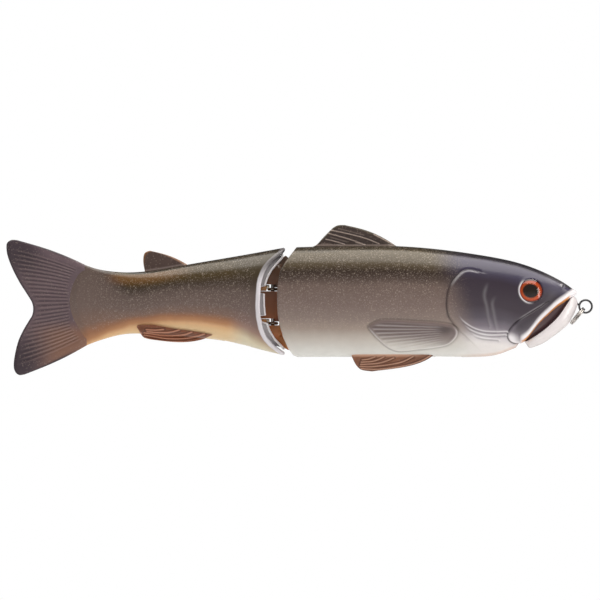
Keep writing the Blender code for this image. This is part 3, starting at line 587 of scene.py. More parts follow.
# %% Build the front skin
def front_skin():
    bm, order, u, v = grid(296, 150)
    angle = np.radians(np.interp(v, [0, 0.09, 0.945, 1], [90, 52, -70, -90]))
    straight = np.interp(u, [0, 0.36, 1], [OPEN_END, NECK, NOSE])
    rough = front_form(straight, angle)
    edge = np.interp(rough[..., 2], FRONT_EDGE[:, 0], FRONT_EDGE[:, 1])
    x = straight + (edge - OPEN_END) * (1 - ramp(straight, OPEN_END, -112))
    spots = front_form(x, angle)
    direction = outward(spots)
    height, shade_and_dark_tone, pale, gilt = front_relief(spots[..., 0], spots[..., 2])
    fin_height, fin_shade, fin_highlight, fin_tint = pectoral_relief(spots[..., 0], spots[..., 2])
    flat = ramp(np.abs(spots[..., 1]), 0.4, 1.6)
    spots += direction * ((height + fin_height) * flat)[..., None]
    from_eye = np.hypot(spots[..., 0] - EYE[0], spots[..., 2] - EYE[1])
    sink = ramp(-from_eye, -EYE_RADIUS - 0.1, -EYE_RADIUS + 0.3) * (np.abs(spots[..., 1]) > 3)
    seat = (spots - np.array(EYE_MIDDLE)) @ np.array(EYE_FACING)
    spots -= np.array(EYE_FACING) * ((seat + SEAT_DEPTH) * sink)[..., None]
    hook_slot(spots, HOOK_SLOT["front"], 6.2, under=-10)
    spots[:, 0, 1] = spots[:, -1, 1] = 0
    x, z = spots[..., 0], spots[..., 2]
    marks = {
        "band": band_of(z, belly_line(x), BACK(x)),
        "head": ramp(x + 0.25 * (z - 8), -66, -50),
        "fin": fin_tint,
        "flake": (1 - ramp(x, -72, -46)) * ramp(z, -17, -8),
        "shade_and_dark_tone": np.clip(shade_and_dark_tone + fin_shade, 0, 1) * flat,
        "pale": np.clip(pale + fin_highlight, 0, 1),
        "gilt": gilt,
    }
    place(bm, order, spots, marks)
    mirrored(bm)
    joint = open_rim(bm, lambda e: e.verts[0].co.x < -0.1)
    roll = [(0.12, 0.28), (0.45, 0.45), (1.3, 0.40), (1.9, 0.1), (2.1, -0.5), (2.4, -12)]
    roll_in(bm, joint, roll, towards=-1)
    nose = open_rim(bm, lambda e: e.verts[0].co.x > -0.02)
    bmesh.ops.contextual_create(bm, geom=nose)
    piece("front_skin_painted", bm, "front", front_paint, "front_skin")


front_skin()

# %% [markdown]
# ## The tail half's skin
# It narrows to the wrist of the tail, and its orange belly line rises and falls with it. Its front end is a bare
# milky bead where the mould leaves the rubber unpainted, and its rear end is tucked down onto the tail fin.

# %% Build the tail skin
REAR_BACK = profile([(-236, 24.7), (-228, 21.5), (-220.4, 18.7), (-213.7, 16.4), (-208.9, 15.5),
                     (-201.9, 14.9), (-192.7, 15.3), (-173.4, 18.4), (-159.9, 20.7), (-149.4, 22.5),
                     (-138.9, 24.4), (-128, 26.4)])
REAR_BELLY = profile([(-236, -25.3), (-228, -21.5), (-220.4, -18.0), (-215.9, -16.1), (-209.3, -13.9),
                      (-201.9, -12.2), (-194.9, -11.9), (-177.4, -13.2), (-159.9, -14.8), (-145.9, -17.9),
                      (-138.9, -19.7), (-128, -22.3)])
REAR_WIDTH = profile([(-228, 1.7), (-220, 2.2), (-212, 3.2), (-200, 4.9), (-185, 7.2), (-165, 9.9),
                      (-148, 12.2), (-128, 13.8)])
REAR_EDGE = np.array([(-21.2, -131.4), (-20.0, -133.2), (-17.5, -136.6), (-15.0, -138.8), (-12.5, -140.2),
                      (-10.0, -141.1), (-5.0, -142.1), (0.0, -142.4), (5.0, -142.2), (10.0, -141.8),
                      (12.5, -141.3), (15.0, -140.4), (17.5, -139.2), (20.0, -137.3), (22.5, -134.4),
                      (24.0, -132.5), (25.4, -131.4)])
RIM_EDGE = np.array([(-19.4, -131.6), (-18.0, -133.2), (-16.0, -135.5), (-12.5, -137.6), (-10.0, -138.5),
                     (-5.0, -139.7), (0.0, -140.1), (5.0, -140.2), (10.0, -139.8), (12.5, -139.2),
                     (15.0, -138.3), (17.5, -137.0), (20.0, -135.0), (21.8, -133.2), (23.0, -132.2)])
WRIST = through([(-221.5, 19.4), (-223.8, 15.0), (-225.8, 9.0), (-226.6, 3.0), (-225.4, -4.0),
                 (-222.4, -10.5), (-219.6, -17.6)])


def orange_line(x):
    """Where the orange belly starts on the tail half."""
    return np.interp(x, [-222, -215, -209, -200, -186, -175, -165, -155, -148, -143, -135],
                     [-16.2, -12.8, -9.6, -6.4, -4.5, -4.5, -5.2, -7.0, -9.6, -12.5, -16.5])


def rear_form(x, angle, inset=0.0):
    """The plain tail half, or the same form a little further in."""
    return oval(x, angle, REAR_BACK(x) - inset, REAR_BELLY(x) + inset, np.maximum(REAR_WIDTH(x) - inset, 0.3))


BEAD = 0.65
BEAD_ROLL = [(0.10, 0.28), (0.38, 0.55), (0.80, 0.65), (1.25, 0.50), (1.55, 0.15), (1.75, -0.5), (2.6, -4),
             (5.5, -12)]


def rear_skin():
    """The ends follow drawn edges, whose heights depend on where they end, so three rounds settle them."""
    bm, order, u, v = grid(230, 120)
    angle = (0.5 - v) * np.pi
    front_x, back_x = -142.95, -226.0
    straight = front_x + (back_x - front_x) * u
    arc = WRIST[np.argsort(WRIST[:, 1])]
    z_front, z_back = (rear_form(np.full_like(u, at), angle)[..., 2] for at in (front_x, back_x))
    for _ in range(3):
        ahead = np.interp(z_front, REAR_EDGE[:, 0], REAR_EDGE[:, 1]) - BEAD - front_x
        behind = np.interp(z_back, arc[:, 1], arc[:, 0]) - back_x
        z_front = rear_form(front_x + ahead, angle)[..., 2]
        z_back = rear_form(back_x + behind, angle)[..., 2]
    x = straight + ahead * (1 - ramp(-straight, 142.3, 168)) + behind * ramp(-straight, 196, 226)
    spots = rear_form(x, angle)
    to_end = (1 - u) * (front_x - back_x)
    spots[..., 1] *= 1 - 0.34 * (1 - ramp(to_end, 0, 4.5))
    hook_slot(spots, HOOK_SLOT["rear"], 5.8, under=-8)
    spots[:, 0, 1] = spots[:, -1, 1] = 0
    x, z = spots[..., 0], spots[..., 2]
    from_edge = u * (front_x - back_x)
    bare = 1 - ramp(from_edge, 1.0, 1.35)
    # Painted highlight: a warm tint along the top of the tail half's back, laid on through the gilt mark.
    warm_back_highlight = ramp(z - REAR_BACK(x), -7, -3) * ramp(REAR_BACK(x) - z, 0.7, 1.6) * ramp(-x, 166, 190)
    marks = {
        "band": band_of(z, orange_line(x), REAR_BACK(x) + 30 * ramp(-x, 198, 220)),
        "head": ramp(x, -158, -148),
        "fin": np.zeros_like(x),
        "flake": ramp(from_edge, 2.5, 5) * ramp(z - orange_line(x), -1, 3) * (1 - 0.6 * ramp(-x, 205, 222)),
        # Painted shade: the bare bead turns darker towards its top.
        "shade_and_dark_tone": 0.62 * bare * ramp(z, 8, 20),
        "pale": bare * (1 - 0.84 * ramp(z, 9, 20)),
        "gilt": 0.13 * warm_back_highlight * ramp(x, -212, -203),
    }
    place(bm, order, spots, marks)
    mirrored(bm)
    bead = open_rim(bm, lambda e: e.verts[0].co.x > -0.15)
    roll_in(bm, bead, BEAD_ROLL, towards=1)
    wrist = open_rim(bm, lambda e: e.verts[0].co.x < -0.2)
    bmesh.ops.contextual_create(bm, geom=wrist)
    piece("rear_skin_painted", bm, "tail", rear_paint, "rear_skin")


rear_skin()

# %% [markdown]
# ## Fins
# A fin is a fan. Its rays start on a root line and end on a free edge, so one grid direction follows the rays and
# the other crosses them, and ridges that run along the rays come for free. Both faces meet in a rim with no
# thickness, so a mirror closes the solid. The outer ray may bow, which draws the fin's leading edge.


# %% Fin rubber and a fan of rays
def fin_rubber(name, deep, mid, rim, rays=(0.50, 0.40, 0.36), hollow=(0.03, 0.02, 0.02)):
    """Soft fin rubber: painted shade beside its rays, and its own tint along the rim."""
    look, tree, surface = shader(name, Roughness=0.38, IOR=1.36, Coat_Weight=0.08, Coat_Roughness=0.2)
    paint = mixed(tree, noise(tree, 150, 4, 0.6), deep, mid)
    paint = mixed(tree, sums(tree, "MULTIPLY", mark(tree, "warm"), 0.8), paint, (0.25, 0.125, 0.078))
    paint = mixed(tree, mark(tree, "tone"), paint, rim)
    paint = mixed(tree, sums(tree, "MULTIPLY", glitter(tree, 0.0006, 0.25), 0.25), paint, (0.42, 0.34, 0.28))
    paint = mixed(tree, mark(tree, "shade_and_dark_tone"), paint, hollow)
    paint = mixed(tree, mark(tree, "pale"), paint, rays)
    coat(tree, surface, paint, 1100, strength=0.15)
    return look


def fan(root, edge, size, thick, bows=(0, 0), lead=1.0):
    """Half of a fan-shaped fin: its grid, side view, half thickness and the share of the way to each border.

    A lead below 1 moves the fullest part of a bow towards the root."""
    bm, order, u, v = grid(*size)
    start, end = along(through(root), v), along(through(edge), v)
    run = end - start
    square = np.stack([-run[..., 1], run[..., 0]], axis=-1)
    square /= np.maximum(np.linalg.norm(run, axis=-1, keepdims=True), 1e-6)
    bow = bows[0] * (1 - v) ** 2 + bows[1] * v**2
    flat = start + run * u[..., None] + square * (bow * np.sin(np.pi * u**lead))[..., None]
    rim = np.minimum(np.minimum(v, 1 - v) * 14, (1 - u) * 22)
    half = thick * (1 - 0.45 * u) * np.sqrt(np.clip(rim, 0, 1))
    return bm, order, flat, half, u, v


def rib(flat, lines, width):
    """Marks and height of ribs that follow drawn lines, with a hollow on both sides of each."""
    raised, hollow = np.zeros(flat.shape[:2]), np.zeros(flat.shape[:2])
    for points in lines:
        away = np.abs(reach(flat[..., 0], flat[..., 1], through(points)))
        raised = np.maximum(raised, ridge(away, width))
        hollow = np.maximum(hollow, ridge(away - 2.2 * width, width))
    return raised, hollow * (1 - raised)


def fin(name, body, look, node_name, shape, half, marks, change=None):
    """Closes the half fin with a mirror and makes the finished piece."""
    bm, order, flat = shape
    half[:, 0] = half[:, -1] = 0
    half[-1, :] = half[0, :] = 0
    spots = np.stack([flat[..., 0], -np.maximum(half, 0), flat[..., 1]], axis=-1)
    place(bm, order, spots, marks)
    mirrored(bm)
    if change:
        bmesh.ops.transform(bm, matrix=change, verts=bm.verts)
    piece(name, bm, body, look, node_name)


def border(u, v, wide=0.11):
    return 1 - ramp(np.minimum(np.minimum(v, 1 - v), 1 - u), 0.1 * wide, wide)


print("fan ready")

# %% Dorsal and adipose fins
dorsal_rubber = fin_rubber("Dorsal fin rubber", (0.038, 0.026, 0.022), (0.070, 0.050, 0.043),
                           (0.060, 0.046, 0.028), (0.46, 0.36, 0.31))
bm, order, flat, half, u, v = fan(
    root=[(-120.2, 24.8), (-107.0, 25.4), (-94.0, 25.6), (-81.0, 25.2)],
    edge=[(-119.6, 26.0), (-117.6, 27.0), (-115.0, 29.8), (-112.3, 32.6), (-110.1, 34.6), (-108.1, 35.5),
          (-105.4, 35.6)],
    size=(110, 110), thick=0.95, bows=(0, -1.7),
)
DORSAL_RAYS = [
    [(-112.0, 33.4), (-107.5, 32.5), (-101.0, 31.0), (-95.5, 29.4), (-90.3, 27.3)],
    [(-112.6, 31.9), (-108.5, 30.8), (-103.0, 29.2), (-97.6, 27.3)],
    [(-113.6, 29.3), (-110.5, 28.6), (-105.4, 27.1)],
    [(-100.5, 27.9), (-96.5, 26.9)],
    [(-92.5, 31.4), (-88.4, 29.3), (-84.6, 27.3)],
]
raised, hollow = rib(flat, DORSAL_RAYS, 0.25)
FAINT_RAYS = [[(-115.5, 27.6), (-111.0, 27.1)], [(-111.5, 30.2), (-104.5, 28.2)],
              [(-108.0, 34.0), (-97.0, 31.2)]]
faint, _ = rib(flat, FAINT_RAYS, 0.25)
foot = ridge(flat[..., 1] - 26.75, 0.30)
half += 0.16 * raised + 0.06 * faint - 0.10 * hollow + 0.25 * ramp(-flat[..., 1], -27.4, -26.5)
fin("dorsal_fin_rubber", "front", dorsal_rubber, "dorsal_fin", (bm, order, flat), half, {
    "pale": np.clip(0.70 * raised + 0.22 * faint + 0.38 * foot, 0, 1), "shade_and_dark_tone": 0.5 * hollow,
    "tone": border(u, v),
})

adipose_rubber = fin_rubber("Adipose fin rubber", (0.055, 0.034, 0.029), (0.095, 0.060, 0.050),
                            (0.22, 0.10, 0.045))
bm, order, flat, half, u, v = fan(
    root=[(-192.8, 14.4), (-186.0, 14.9), (-180.0, 15.9), (-173.0, 17.6)],
    edge=[(-192.8, 15.6), (-193.4, 19.0), (-193.3, 22.0), (-192.5, 23.6), (-190.7, 24.3), (-189.4, 24.1)],
    size=(50, 60), thick=1.0, bows=(0, -0.9),
)
fin("adipose_fin_rubber", "tail", adipose_rubber, "adipose_fin", (bm, order, flat), half, {
    "pale": 0.30 * ridge(flat[..., 1] - REAR_BACK(flat[..., 0]) - 0.4, 0.4), "shade_and_dark_tone": 0 * u,
    "tone": border(u, v, 0.09),
})

# %% Tail fin
tail_rubber = fin_rubber("Tail fin rubber", (0.102, 0.070, 0.081), (0.144, 0.101, 0.113), (0.040, 0.029, 0.037),
                         (0.34, 0.24, 0.22), (0.028, 0.018, 0.022))
bm, order, flat, half, u, v = fan(
    root=[(-213.0, 15.2), (-219.5, 12.4), (-222.6, 7.5), (-223.2, 2.5), (-222.6, -3.0), (-220.0, -8.6),
          (-212.5, -13.6)],
    edge=[(-248.6, 29.0), (-251.0, 29.1), (-252.8, 28.0), (-253.3, 26.2), (-252.8, 22.2), (-250.7, 16.6),
          (-247.6, 10.6), (-244.5, 5.7), (-242.3, 2.1), (-241.6, -0.6), (-242.0, -3.7), (-243.6, -6.5),
          (-245.8, -10.2), (-248.0, -14.9), (-249.4, -20.2), (-250.1, -25.2), (-249.6, -28.3),
          (-247.8, -30.0), (-245.4, -29.8)],
    size=(84, 320), thick=1.35, bows=(-1.25, 1.1),
)
TAIL_RAYS, RAYS_FROM, RAYS_TO = 25, 0.10, 0.90
wave = np.cos(2 * np.pi * TAIL_RAYS * (v - RAYS_FROM) / (RAYS_TO - RAYS_FROM))
field = ramp(v, RAYS_FROM - 0.03, RAYS_FROM + 0.02) * (1 - ramp(v, RAYS_TO - 0.02, RAYS_TO + 0.03))
field *= ramp(u, 0.13, 0.20) * (1 - ramp(u, 0.80, 0.97))
half += 0.13 * wave * field
low_lobe = ramp(-flat[..., 1], 5, 13) * ramp(flat[..., 0], -246, -228)
lobe_tips = ramp(np.abs(flat[..., 1]), 8, 22) * ramp(-flat[..., 0], 232, 246)
fin("tail_fin_rubber", "tail", tail_rubber, "tail_fin", (bm, order, flat), half, {
    "pale": (0.26 + 0.30 * low_lobe) * np.clip(wave, 0, 1) ** 2 * field,
    "shade_and_dark_tone": 0.50 * np.clip(-wave, 0, 1) ** 2 * field,
    "tone": np.maximum(border(u, v, 0.05) * ramp(u, 0.2, 0.5), 0.8 * lobe_tips), "warm": low_lobe,
})

# %% Pelvic fins
pelvic_rubber = fin_rubber("Pelvic fin rubber", (0.170, 0.066, 0.034), (0.27, 0.110, 0.058),
                           (0.24, 0.095, 0.050), (0.62, 0.37, 0.26), (0.070, 0.026, 0.016))
PELVIC_RAYS = [
    [(-98.2, -26.9), (-92.0, -27.3), (-85.0, -26.6), (-78.0, -25.4), (-72.0, -23.5), (-67.9, -21.2)],
    [(-98.6, -26.0), (-94.0, -26.1), (-90.0, -25.7), (-85.0, -25.0), (-80.0, -23.8), (-75.6, -21.6)],
    [(-98.4, -25.1), (-92.0, -24.7), (-88.0, -23.8), (-84.0, -22.2)],
    [(-98.2, -24.1), (-94.0, -23.8), (-91.0, -23.0), (-88.3, -21.7)],
    [(-97.8, -23.1), (-95.0, -22.7), (-92.2, -21.7)],
]
LEAN = math.radians(24)
for side, sign in (("right", -1), ("left", 1)):
    bm, order, flat, half, u, v = fan(
        root=[(-102.6, -20.2), (-92.0, -20.0), (-80.0, -20.0), (-66.0, -20.2)],
        edge=[(-102.3, -21.8), (-101.0, -24.6), (-99.4, -26.8), (-97.4, -27.9), (-93.6, -28.4)],
        size=(90, 90), thick=0.8, bows=(0, 2.5), lead=0.65,
    )
    raised, hollow = rib(flat, PELVIC_RAYS, 0.26)
    half += 0.16 * raised - 0.14 * hollow
    from_tip = np.hypot(flat[..., 0] + 99.6, flat[..., 1] + 23.6)
    dusk = np.maximum(0.6 * ramp(flat[..., 0], -84, -74), 0.55 * ridge(from_tip, 1.6))
    marks = {
        "pale": np.maximum(0.62 * raised, 0.75 * ramp(flat[..., 1], -22.2, -20.8) * ramp(-flat[..., 0], 66,
                                                                                         80)),
        "shade_and_dark_tone": np.clip(0.75 * hollow + 0.55 * dusk * (1 - raised), 0, 1), "tone": border(u, v, 0.08),
    }
    drop = (flat[..., 1] + 20) / math.cos(LEAN) - 20
    flat = np.stack([flat[..., 0], drop], axis=-1)
    hinge = Matrix.Translation((0, sign * 5.2 * MM, -20.0 * MM))
    lean = Matrix.Rotation(LEAN * -sign, 4, "X")
    fin(f"pelvic_fin_rubber_{side}", "front", pelvic_rubber, f"pelvic_fin_{side}", (bm, order, flat), half,
        marks,
        hinge @ lean @ Matrix.Translation((0, 0, 20.0 * MM)))

# %% [markdown]
# ## The anal fin
# This one sits astride the belly like a saddle: its root hugs both sides of the body and it closes to a blade
# below. So its thickness follows the body's own width at each height, plus a little.

# %% Anal fin
anal_rubber = fin_rubber("Anal fin rubber", (0.160, 0.046, 0.018), (0.24, 0.080, 0.032), (0.42, 0.19, 0.12),
                         (0.60, 0.28, 0.18), (0.070, 0.020, 0.010))
bm, order, flat, half, u, v = fan(
    root=[(-196.2, -8.2), (-189.5, -8.0), (-184.5, -8.8), (-179.4, -9.7), (-173.8, -10.4), (-168.5, -11.2),
          (-162.4, -12.3)],
    edge=[(-196.3, -8.8), (-195.5, -10.4), (-194.4, -12.3), (-193.0, -13.7), (-190.6, -14.4)],
    size=(110, 80), thick=0.9, bows=(0, 2.4), lead=0.8,
)
ANAL_RAYS = [
    [(-193.0, -12.4), (-188.0, -13.3), (-184.0, -13.9), (-179.0, -14.1), (-174.0, -13.8), (-170.0, -13.0),
     (-166.6, -12.0)],
    [(-193.0, -11.6), (-189.0, -12.2), (-184.0, -12.8), (-179.0, -12.8), (-175.0, -12.2), (-172.2, -11.2)],
    [(-191.6, -11.0), (-187.0, -11.4), (-183.0, -11.4), (-180.0, -10.9), (-177.6, -10.2)],
    [(-192.0, -10.1), (-188.0, -10.3), (-184.5, -10.0)],
]
middle = (REAR_BACK(flat[..., 0]) + REAR_BELLY(flat[..., 0])) / 2
share = np.clip((middle - flat[..., 1]) / (middle - REAR_BELLY(flat[..., 0])), 0, 1)
body_side = REAR_WIDTH(flat[..., 0]) * (1 - share**2.25) ** (1 / 2.25)
raised, hollow = rib(flat, ANAL_RAYS, 0.30)
half += body_side - 0.05 + 0.28 * raised - 0.22 * hollow
from_tip = np.hypot(flat[..., 0] + 194.0, flat[..., 1] + 9.8)
dusk = 0.5 * ridge(from_tip, 1.3) + 0.2 * ramp(-flat[..., 0], 160, 190) * (1 - share)
fin("anal_fin_rubber", "tail", anal_rubber, "anal_fin", (bm, order, flat), half, {
    "pale": 0.72 * raised, "shade_and_dark_tone": np.clip(0.75 * hollow + dusk, 0, 1),
    "tone": border(u, v, 0.10) * ramp(u, 0.3, 0.6),
})

# %% [markdown]
# ## The mouth
# The lower jaw is a scoop that stands a little open, pearl white, with a dark glossy lining behind it. Both are
# lofts along the jaw's own direction. The jaw's upper edge is a crisp rim, so its slices are flat above the rim
# and round below it.

# %% Lower jaw and lining
JAW_RIM = through([(-26.7, -15.4), (-25.0, -14.7), (-19.9, -11.4), (-16.4, -8.6), (-13.2, -5.6),
                   (-11.0, -3.0), (-8.4, 0.8), (-6.6, 3.4), (-5.4, 4.4), (-4.3, 3.6)])
JAW_KEEL = through([(-26.5, -15.6), (-25.7, -16.8), (-24.1, -18.1), (-18.8, -16.2), (-14.2, -13.1),
                    (-10.5, -10.3), (-7.7, -7.7), (-6.0, -5.0), (-4.6, -2.3), (-3.5, 1.1), (-3.9, 3.0)])
JAW_WIDTH = profile([(0, 5.4), (0.08, 6.8), (0.25, 7.9), (0.45, 7.8), (0.65, 6.6), (0.82, 4.7), (0.93, 3.0),
                     (1, 1.4)])


def jaw_form(rim_line, keel_line, width, size, top=0.5):
    bm, order, u, v = grid(*size)
    angle = (0.5 - v) * np.pi
    rim_at, keel_at = along(rim_line, u), along(keel_line, u)
    down = keel_at - rim_at
    side = -width(u) * np.abs(np.cos(angle)) ** (2 / 2.3)
    share = np.where(angle > 0, -top * np.sin(np.abs(angle)) ** 2, np.sin(np.abs(angle)) ** (2 / 2.3))
    flat = rim_at + down * share[..., None]
    spots = np.stack([flat[..., 0], side, flat[..., 1]], axis=-1)
    spots[:, 0, 1] = spots[:, -1, 1] = 0
    return bm, order, spots, u, v


def scoop(name, bm, look, node_name):
    """Mirrors half a scoop, closes both ends and finishes the piece."""
    mirrored(bm)
    middle = -0.02
    for end in (open_rim(bm, lambda e: e.verts[0].co.x < middle),
                open_rim(bm, lambda e: e.verts[0].co.x > middle)):
        bmesh.ops.contextual_create(bm, geom=end)
    piece(name, bm, "front", look, node_name)


def pearl(name, colour, roughness):
    look, tree, surface = shader(name, Roughness=roughness, IOR=1.5, Coat_Weight=0.6, Coat_Roughness=0.08)
    paint = mixed(tree, sums(tree, "MULTIPLY", noise(tree, 120, 4), 0.5), colour,
                  tuple(c * 0.86 for c in colour))
    paint = mixed(tree, mark(tree, "shade_and_dark_tone"), paint, (0.11, 0.065, 0.070))
    paint = mixed(tree, mark(tree, "pale"), paint, (0.62, 0.40, 0.34))
    coat(tree, surface, paint, 700, strength=0.08)
    return look


jaw_paint = pearl("Pearl jaw", (0.77, 0.72, 0.73), 0.28)
bm, order, spots, u, v = jaw_form(JAW_RIM, JAW_KEEL, JAW_WIDTH, (110, 90), top=0.12)
place(bm, order, spots, {
    # Darker inside above the rim: partly the mouth's own dark paint and partly painted shade.
    "shade_and_dark_tone": 0.9 * ramp(-v, -0.50, -0.44) * ramp(u, 0.02, 0.1) * (1 - ramp(u, 0.86, 0.95)),
    "pale": 0.5 * ramp(v, 0.82, 0.98),
})
scoop("lower_jaw_pearl", bm, jaw_paint, "lower_jaw")

lining_look, tree, surface = shader("Mouth lining", Roughness=0.20, IOR=1.5, Coat_Weight=0.5,
                                    Coat_Roughness=0.08)
coat(tree, surface, mixed(tree, noise(tree, 80, 3), (0.060, 0.030, 0.035), (0.105, 0.058, 0.062)), 500)
ROOF = through([(-27.6, -13.8), (-24.0, -8.2), (-20.1, -3.8), (-15.1, 1.0), (-9.6, 3.9), (-6.2, 4.9)])
FLOOR = through([(-26.4, -15.8), (-23.0, -15.6), (-17.6, -12.6), (-13.0, -9.0), (-8.6, -3.0), (-5.6, 3.0)])
bm, order, spots, u, v = jaw_form(ROOF, FLOOR, profile([(0, 4.6), (0.2, 6.5), (0.5, 6.4), (0.8, 4.2),
                                                        (1, 1.6)]), (60, 40))
place(bm, order, spots)
scoop("mouth_lining_gloss", bm, lining_look, "mouth_lining")

# %% [markdown]
# ## Eyes
# Each eye is a printed foil disc under a cast dome. The foil is a disc of rings, and a mark that runs from the
# centre to the rim lets one colour ramp print the pupil, the iris and the dark outline. The dome is spun from a
# short profile. Light passes straight through it and a Fresnel mix adds its gloss, which stays clean at few samples.

# %% Foil disc and clear dome
iris_look, tree, surface = shader("Iris foil", Roughness=0.35, Metallic=0.0, Coat_Weight=0.2,
                                  Coat_Roughness=0.1)
streaks = node(tree, "ShaderNodeTexNoise", {"Vector": spots_on(tree), "Scale": 1500.0, "Detail": 3.0})
iris = ramp_node(tree, mark(tree, "ring"), [
    (0.0, (0.020, 0.012, 0.006)), (0.60, (0.014, 0.008, 0.005)), (0.66, (0.40, 0.09, 0.02)),
    (0.70, (0.95, 0.17, 0.020)), (0.88, (0.95, 0.115, 0.012)), (0.93, (0.40, 0.045, 0.012)),
    (0.97, (0.03, 0.010, 0.010))])
iris = mixed(tree, sums(tree, "MULTIPLY", streaks.outputs["Fac"], 0.25), iris, (0.55, 0.25, 0.10), "MULTIPLY")
tree.links.new(iris, surface.inputs["Base Color"])

dome_look = bpy.data.materials.new("Clear dome")
dome_look.use_nodes = True
tree = dome_look.node_tree
tree.nodes.remove(tree.nodes["Principled BSDF"])
gloss = node(tree, "ShaderNodeBsdfGlossy", {"Roughness": 0.04, "Color": (1, 1, 1, 1)})
clear = node(tree, "ShaderNodeBsdfTransparent", {"Color": (0.97, 0.94, 0.92, 1)})
facing = node(tree, "ShaderNodeFresnel", {"IOR": 1.5})
blend = node(tree, "ShaderNodeMixShader", {0: facing.outputs[0], 1: clear.outputs[0], 2: gloss.outputs[0]})
tree.links.new(blend.outputs[0], tree.nodes["Material Output"].inputs["Surface"])
print("finishes ready:", iris_look.name, "and", dome_look.name)

# %% The eyes' two parts
FOIL_RADIUS, FOIL_DEPTH, FOIL_RINGS, HUB = 5.3, 0.85, 24, 0.2
PUPIL_WIDE, PUPIL_HIGH = 0.96, 1.20
DOME_RADIUS, DOME_HEIGHT, DOME_DEPTH = 5.35, 1.8, 0.30


def spun(bm, knots, middle, steps, weld):
    """Joins knots into a line, turns it about an upright axis through the middle, and welds the poles."""
    lines = [bm.edges.new(pair) for pair in zip(knots, knots[1:])]
    bmesh.ops.spin(bm, geom=[*knots, *lines], cent=middle, axis=(0, 0, 1), angle=2 * math.pi, steps=steps,
                   use_merge=True)
    bmesh.ops.remove_doubles(bm, verts=bm.verts, dist=weld * MM)


def iris_foil():
    """A slightly dished disc of rings. Its "ring" mark is 0 in the pupil's middle and 1 at the rim."""
    bm = bmesh.new()
    bmesh.ops.create_circle(bm, cap_ends=False, segments=72, radius=HUB * MM)
    rim = list(bm.edges)
    radii = [HUB + (FOIL_RADIUS - HUB) * step / FOIL_RINGS for step in range(FOIL_RINGS + 1)]
    for before, after in zip(radii, radii[1:]):
        rim = only(bmesh.ops.extrude_edge_only(bm, edges=rim)["geom"], bmesh.types.BMEdge)
        around = dict.fromkeys(v for e in rim for v in e.verts)
        bmesh.ops.scale(bm, vec=(after / before, after / before, 1), verts=list(around))
    bmesh.ops.holes_fill(bm, edges=open_rim(bm, lambda e: e.verts[0].co.length < 1.5 * HUB * MM))
    layer = bm.verts.layers.float.new("ring")
    for v in bm.verts:
        off_middle = min(v.co.length / (FOIL_RADIUS * MM), 1)
        pupil = math.hypot((v.co.x + 0.3 * MM) * PUPIL_WIDE, v.co.y * PUPIL_HIGH) / (FOIL_RADIUS * MM)
        v[layer] = off_middle + (pupil - off_middle) * (1 - off_middle) ** 0.5
        v.co.z = -0.4 * MM * (1 - (v.co.xy.length / (FOIL_RADIUS * MM)) ** 2)
    back = bmesh.ops.extrude_face_region(bm, geom=list(bm.faces))["geom"]
    bmesh.ops.translate(bm, vec=(0, 0, 0.5 * MM), verts=only(back, bmesh.types.BMVert))
    return bm


def clear_dome():
    """A low cap of a ball, spun from its profile, with a short edge and a flat back."""
    bm = bmesh.new()
    ball = (DOME_RADIUS**2 + DOME_HEIGHT**2) / (2 * DOME_HEIGHT)
    turns = np.linspace(math.asin(DOME_RADIUS / ball), 0, 18)
    curve = [(ball * math.sin(a), DOME_HEIGHT - ball * (1 - math.cos(a))) for a in turns]
    knots = [bm.verts.new((r * MM, 0, z * MM)) for r, z in [(FOIL_RADIUS, -0.25), *curve]]
    spun(bm, knots, (0, 0, 0), 64, weld=0.02)
    bmesh.ops.holes_fill(bm, edges=open_rim(bm, lambda e: True))
    return bm


for side, sign in (("right", 1), ("left", -1)):
    facing_out = Vector((EYE_FACING.x, EYE_FACING.y * sign, EYE_FACING.z))
    turn = facing_out.to_track_quat("Z", "Y").to_matrix().to_4x4()
    middle = Vector((EYE_MIDDLE[0], EYE_MIDDLE[1] * sign, EYE_MIDDLE[2])) * MM
    for name, node_name, make, look, depth in (("eye_iris_foil", "eye_iris", iris_foil, iris_look, FOIL_DEPTH),
                                               ("eye_dome", "eye_lens", clear_dome, dome_look, DOME_DEPTH)):
        bm = make()
        seat = Matrix.Translation(middle - facing_out * depth * MM)
        bmesh.ops.transform(bm, matrix=seat @ turn, verts=bm.verts)
        piece(f"{name}_{side}", bm, "front", look, f"{node_name}_{side}")

# %% [markdown]
# ## Bright wire
# The line tie, the hinge eyes and the split ring are polished steel wire. A loop is a small circle spun about an
# axis, and a wire with bends is a curve with a round bevel that is turned into a mesh. The metal has a faint grain
# along it, which breaks the reflections up as drawn wire does.


# %% Wire and its steel
def steel(name, tint=(0.78, 0.77, 0.75), roughness=0.14):
    look, tree, surface = shader(name, Metallic=1.0, Roughness=roughness)
    streaked = mixed(tree, noise(tree, 400, 4), tint, tuple(c * 0.72 for c in tint))
    coat(tree, surface, streaked, 2500, 3, strength=0.12, depth=0.00005)
    return look


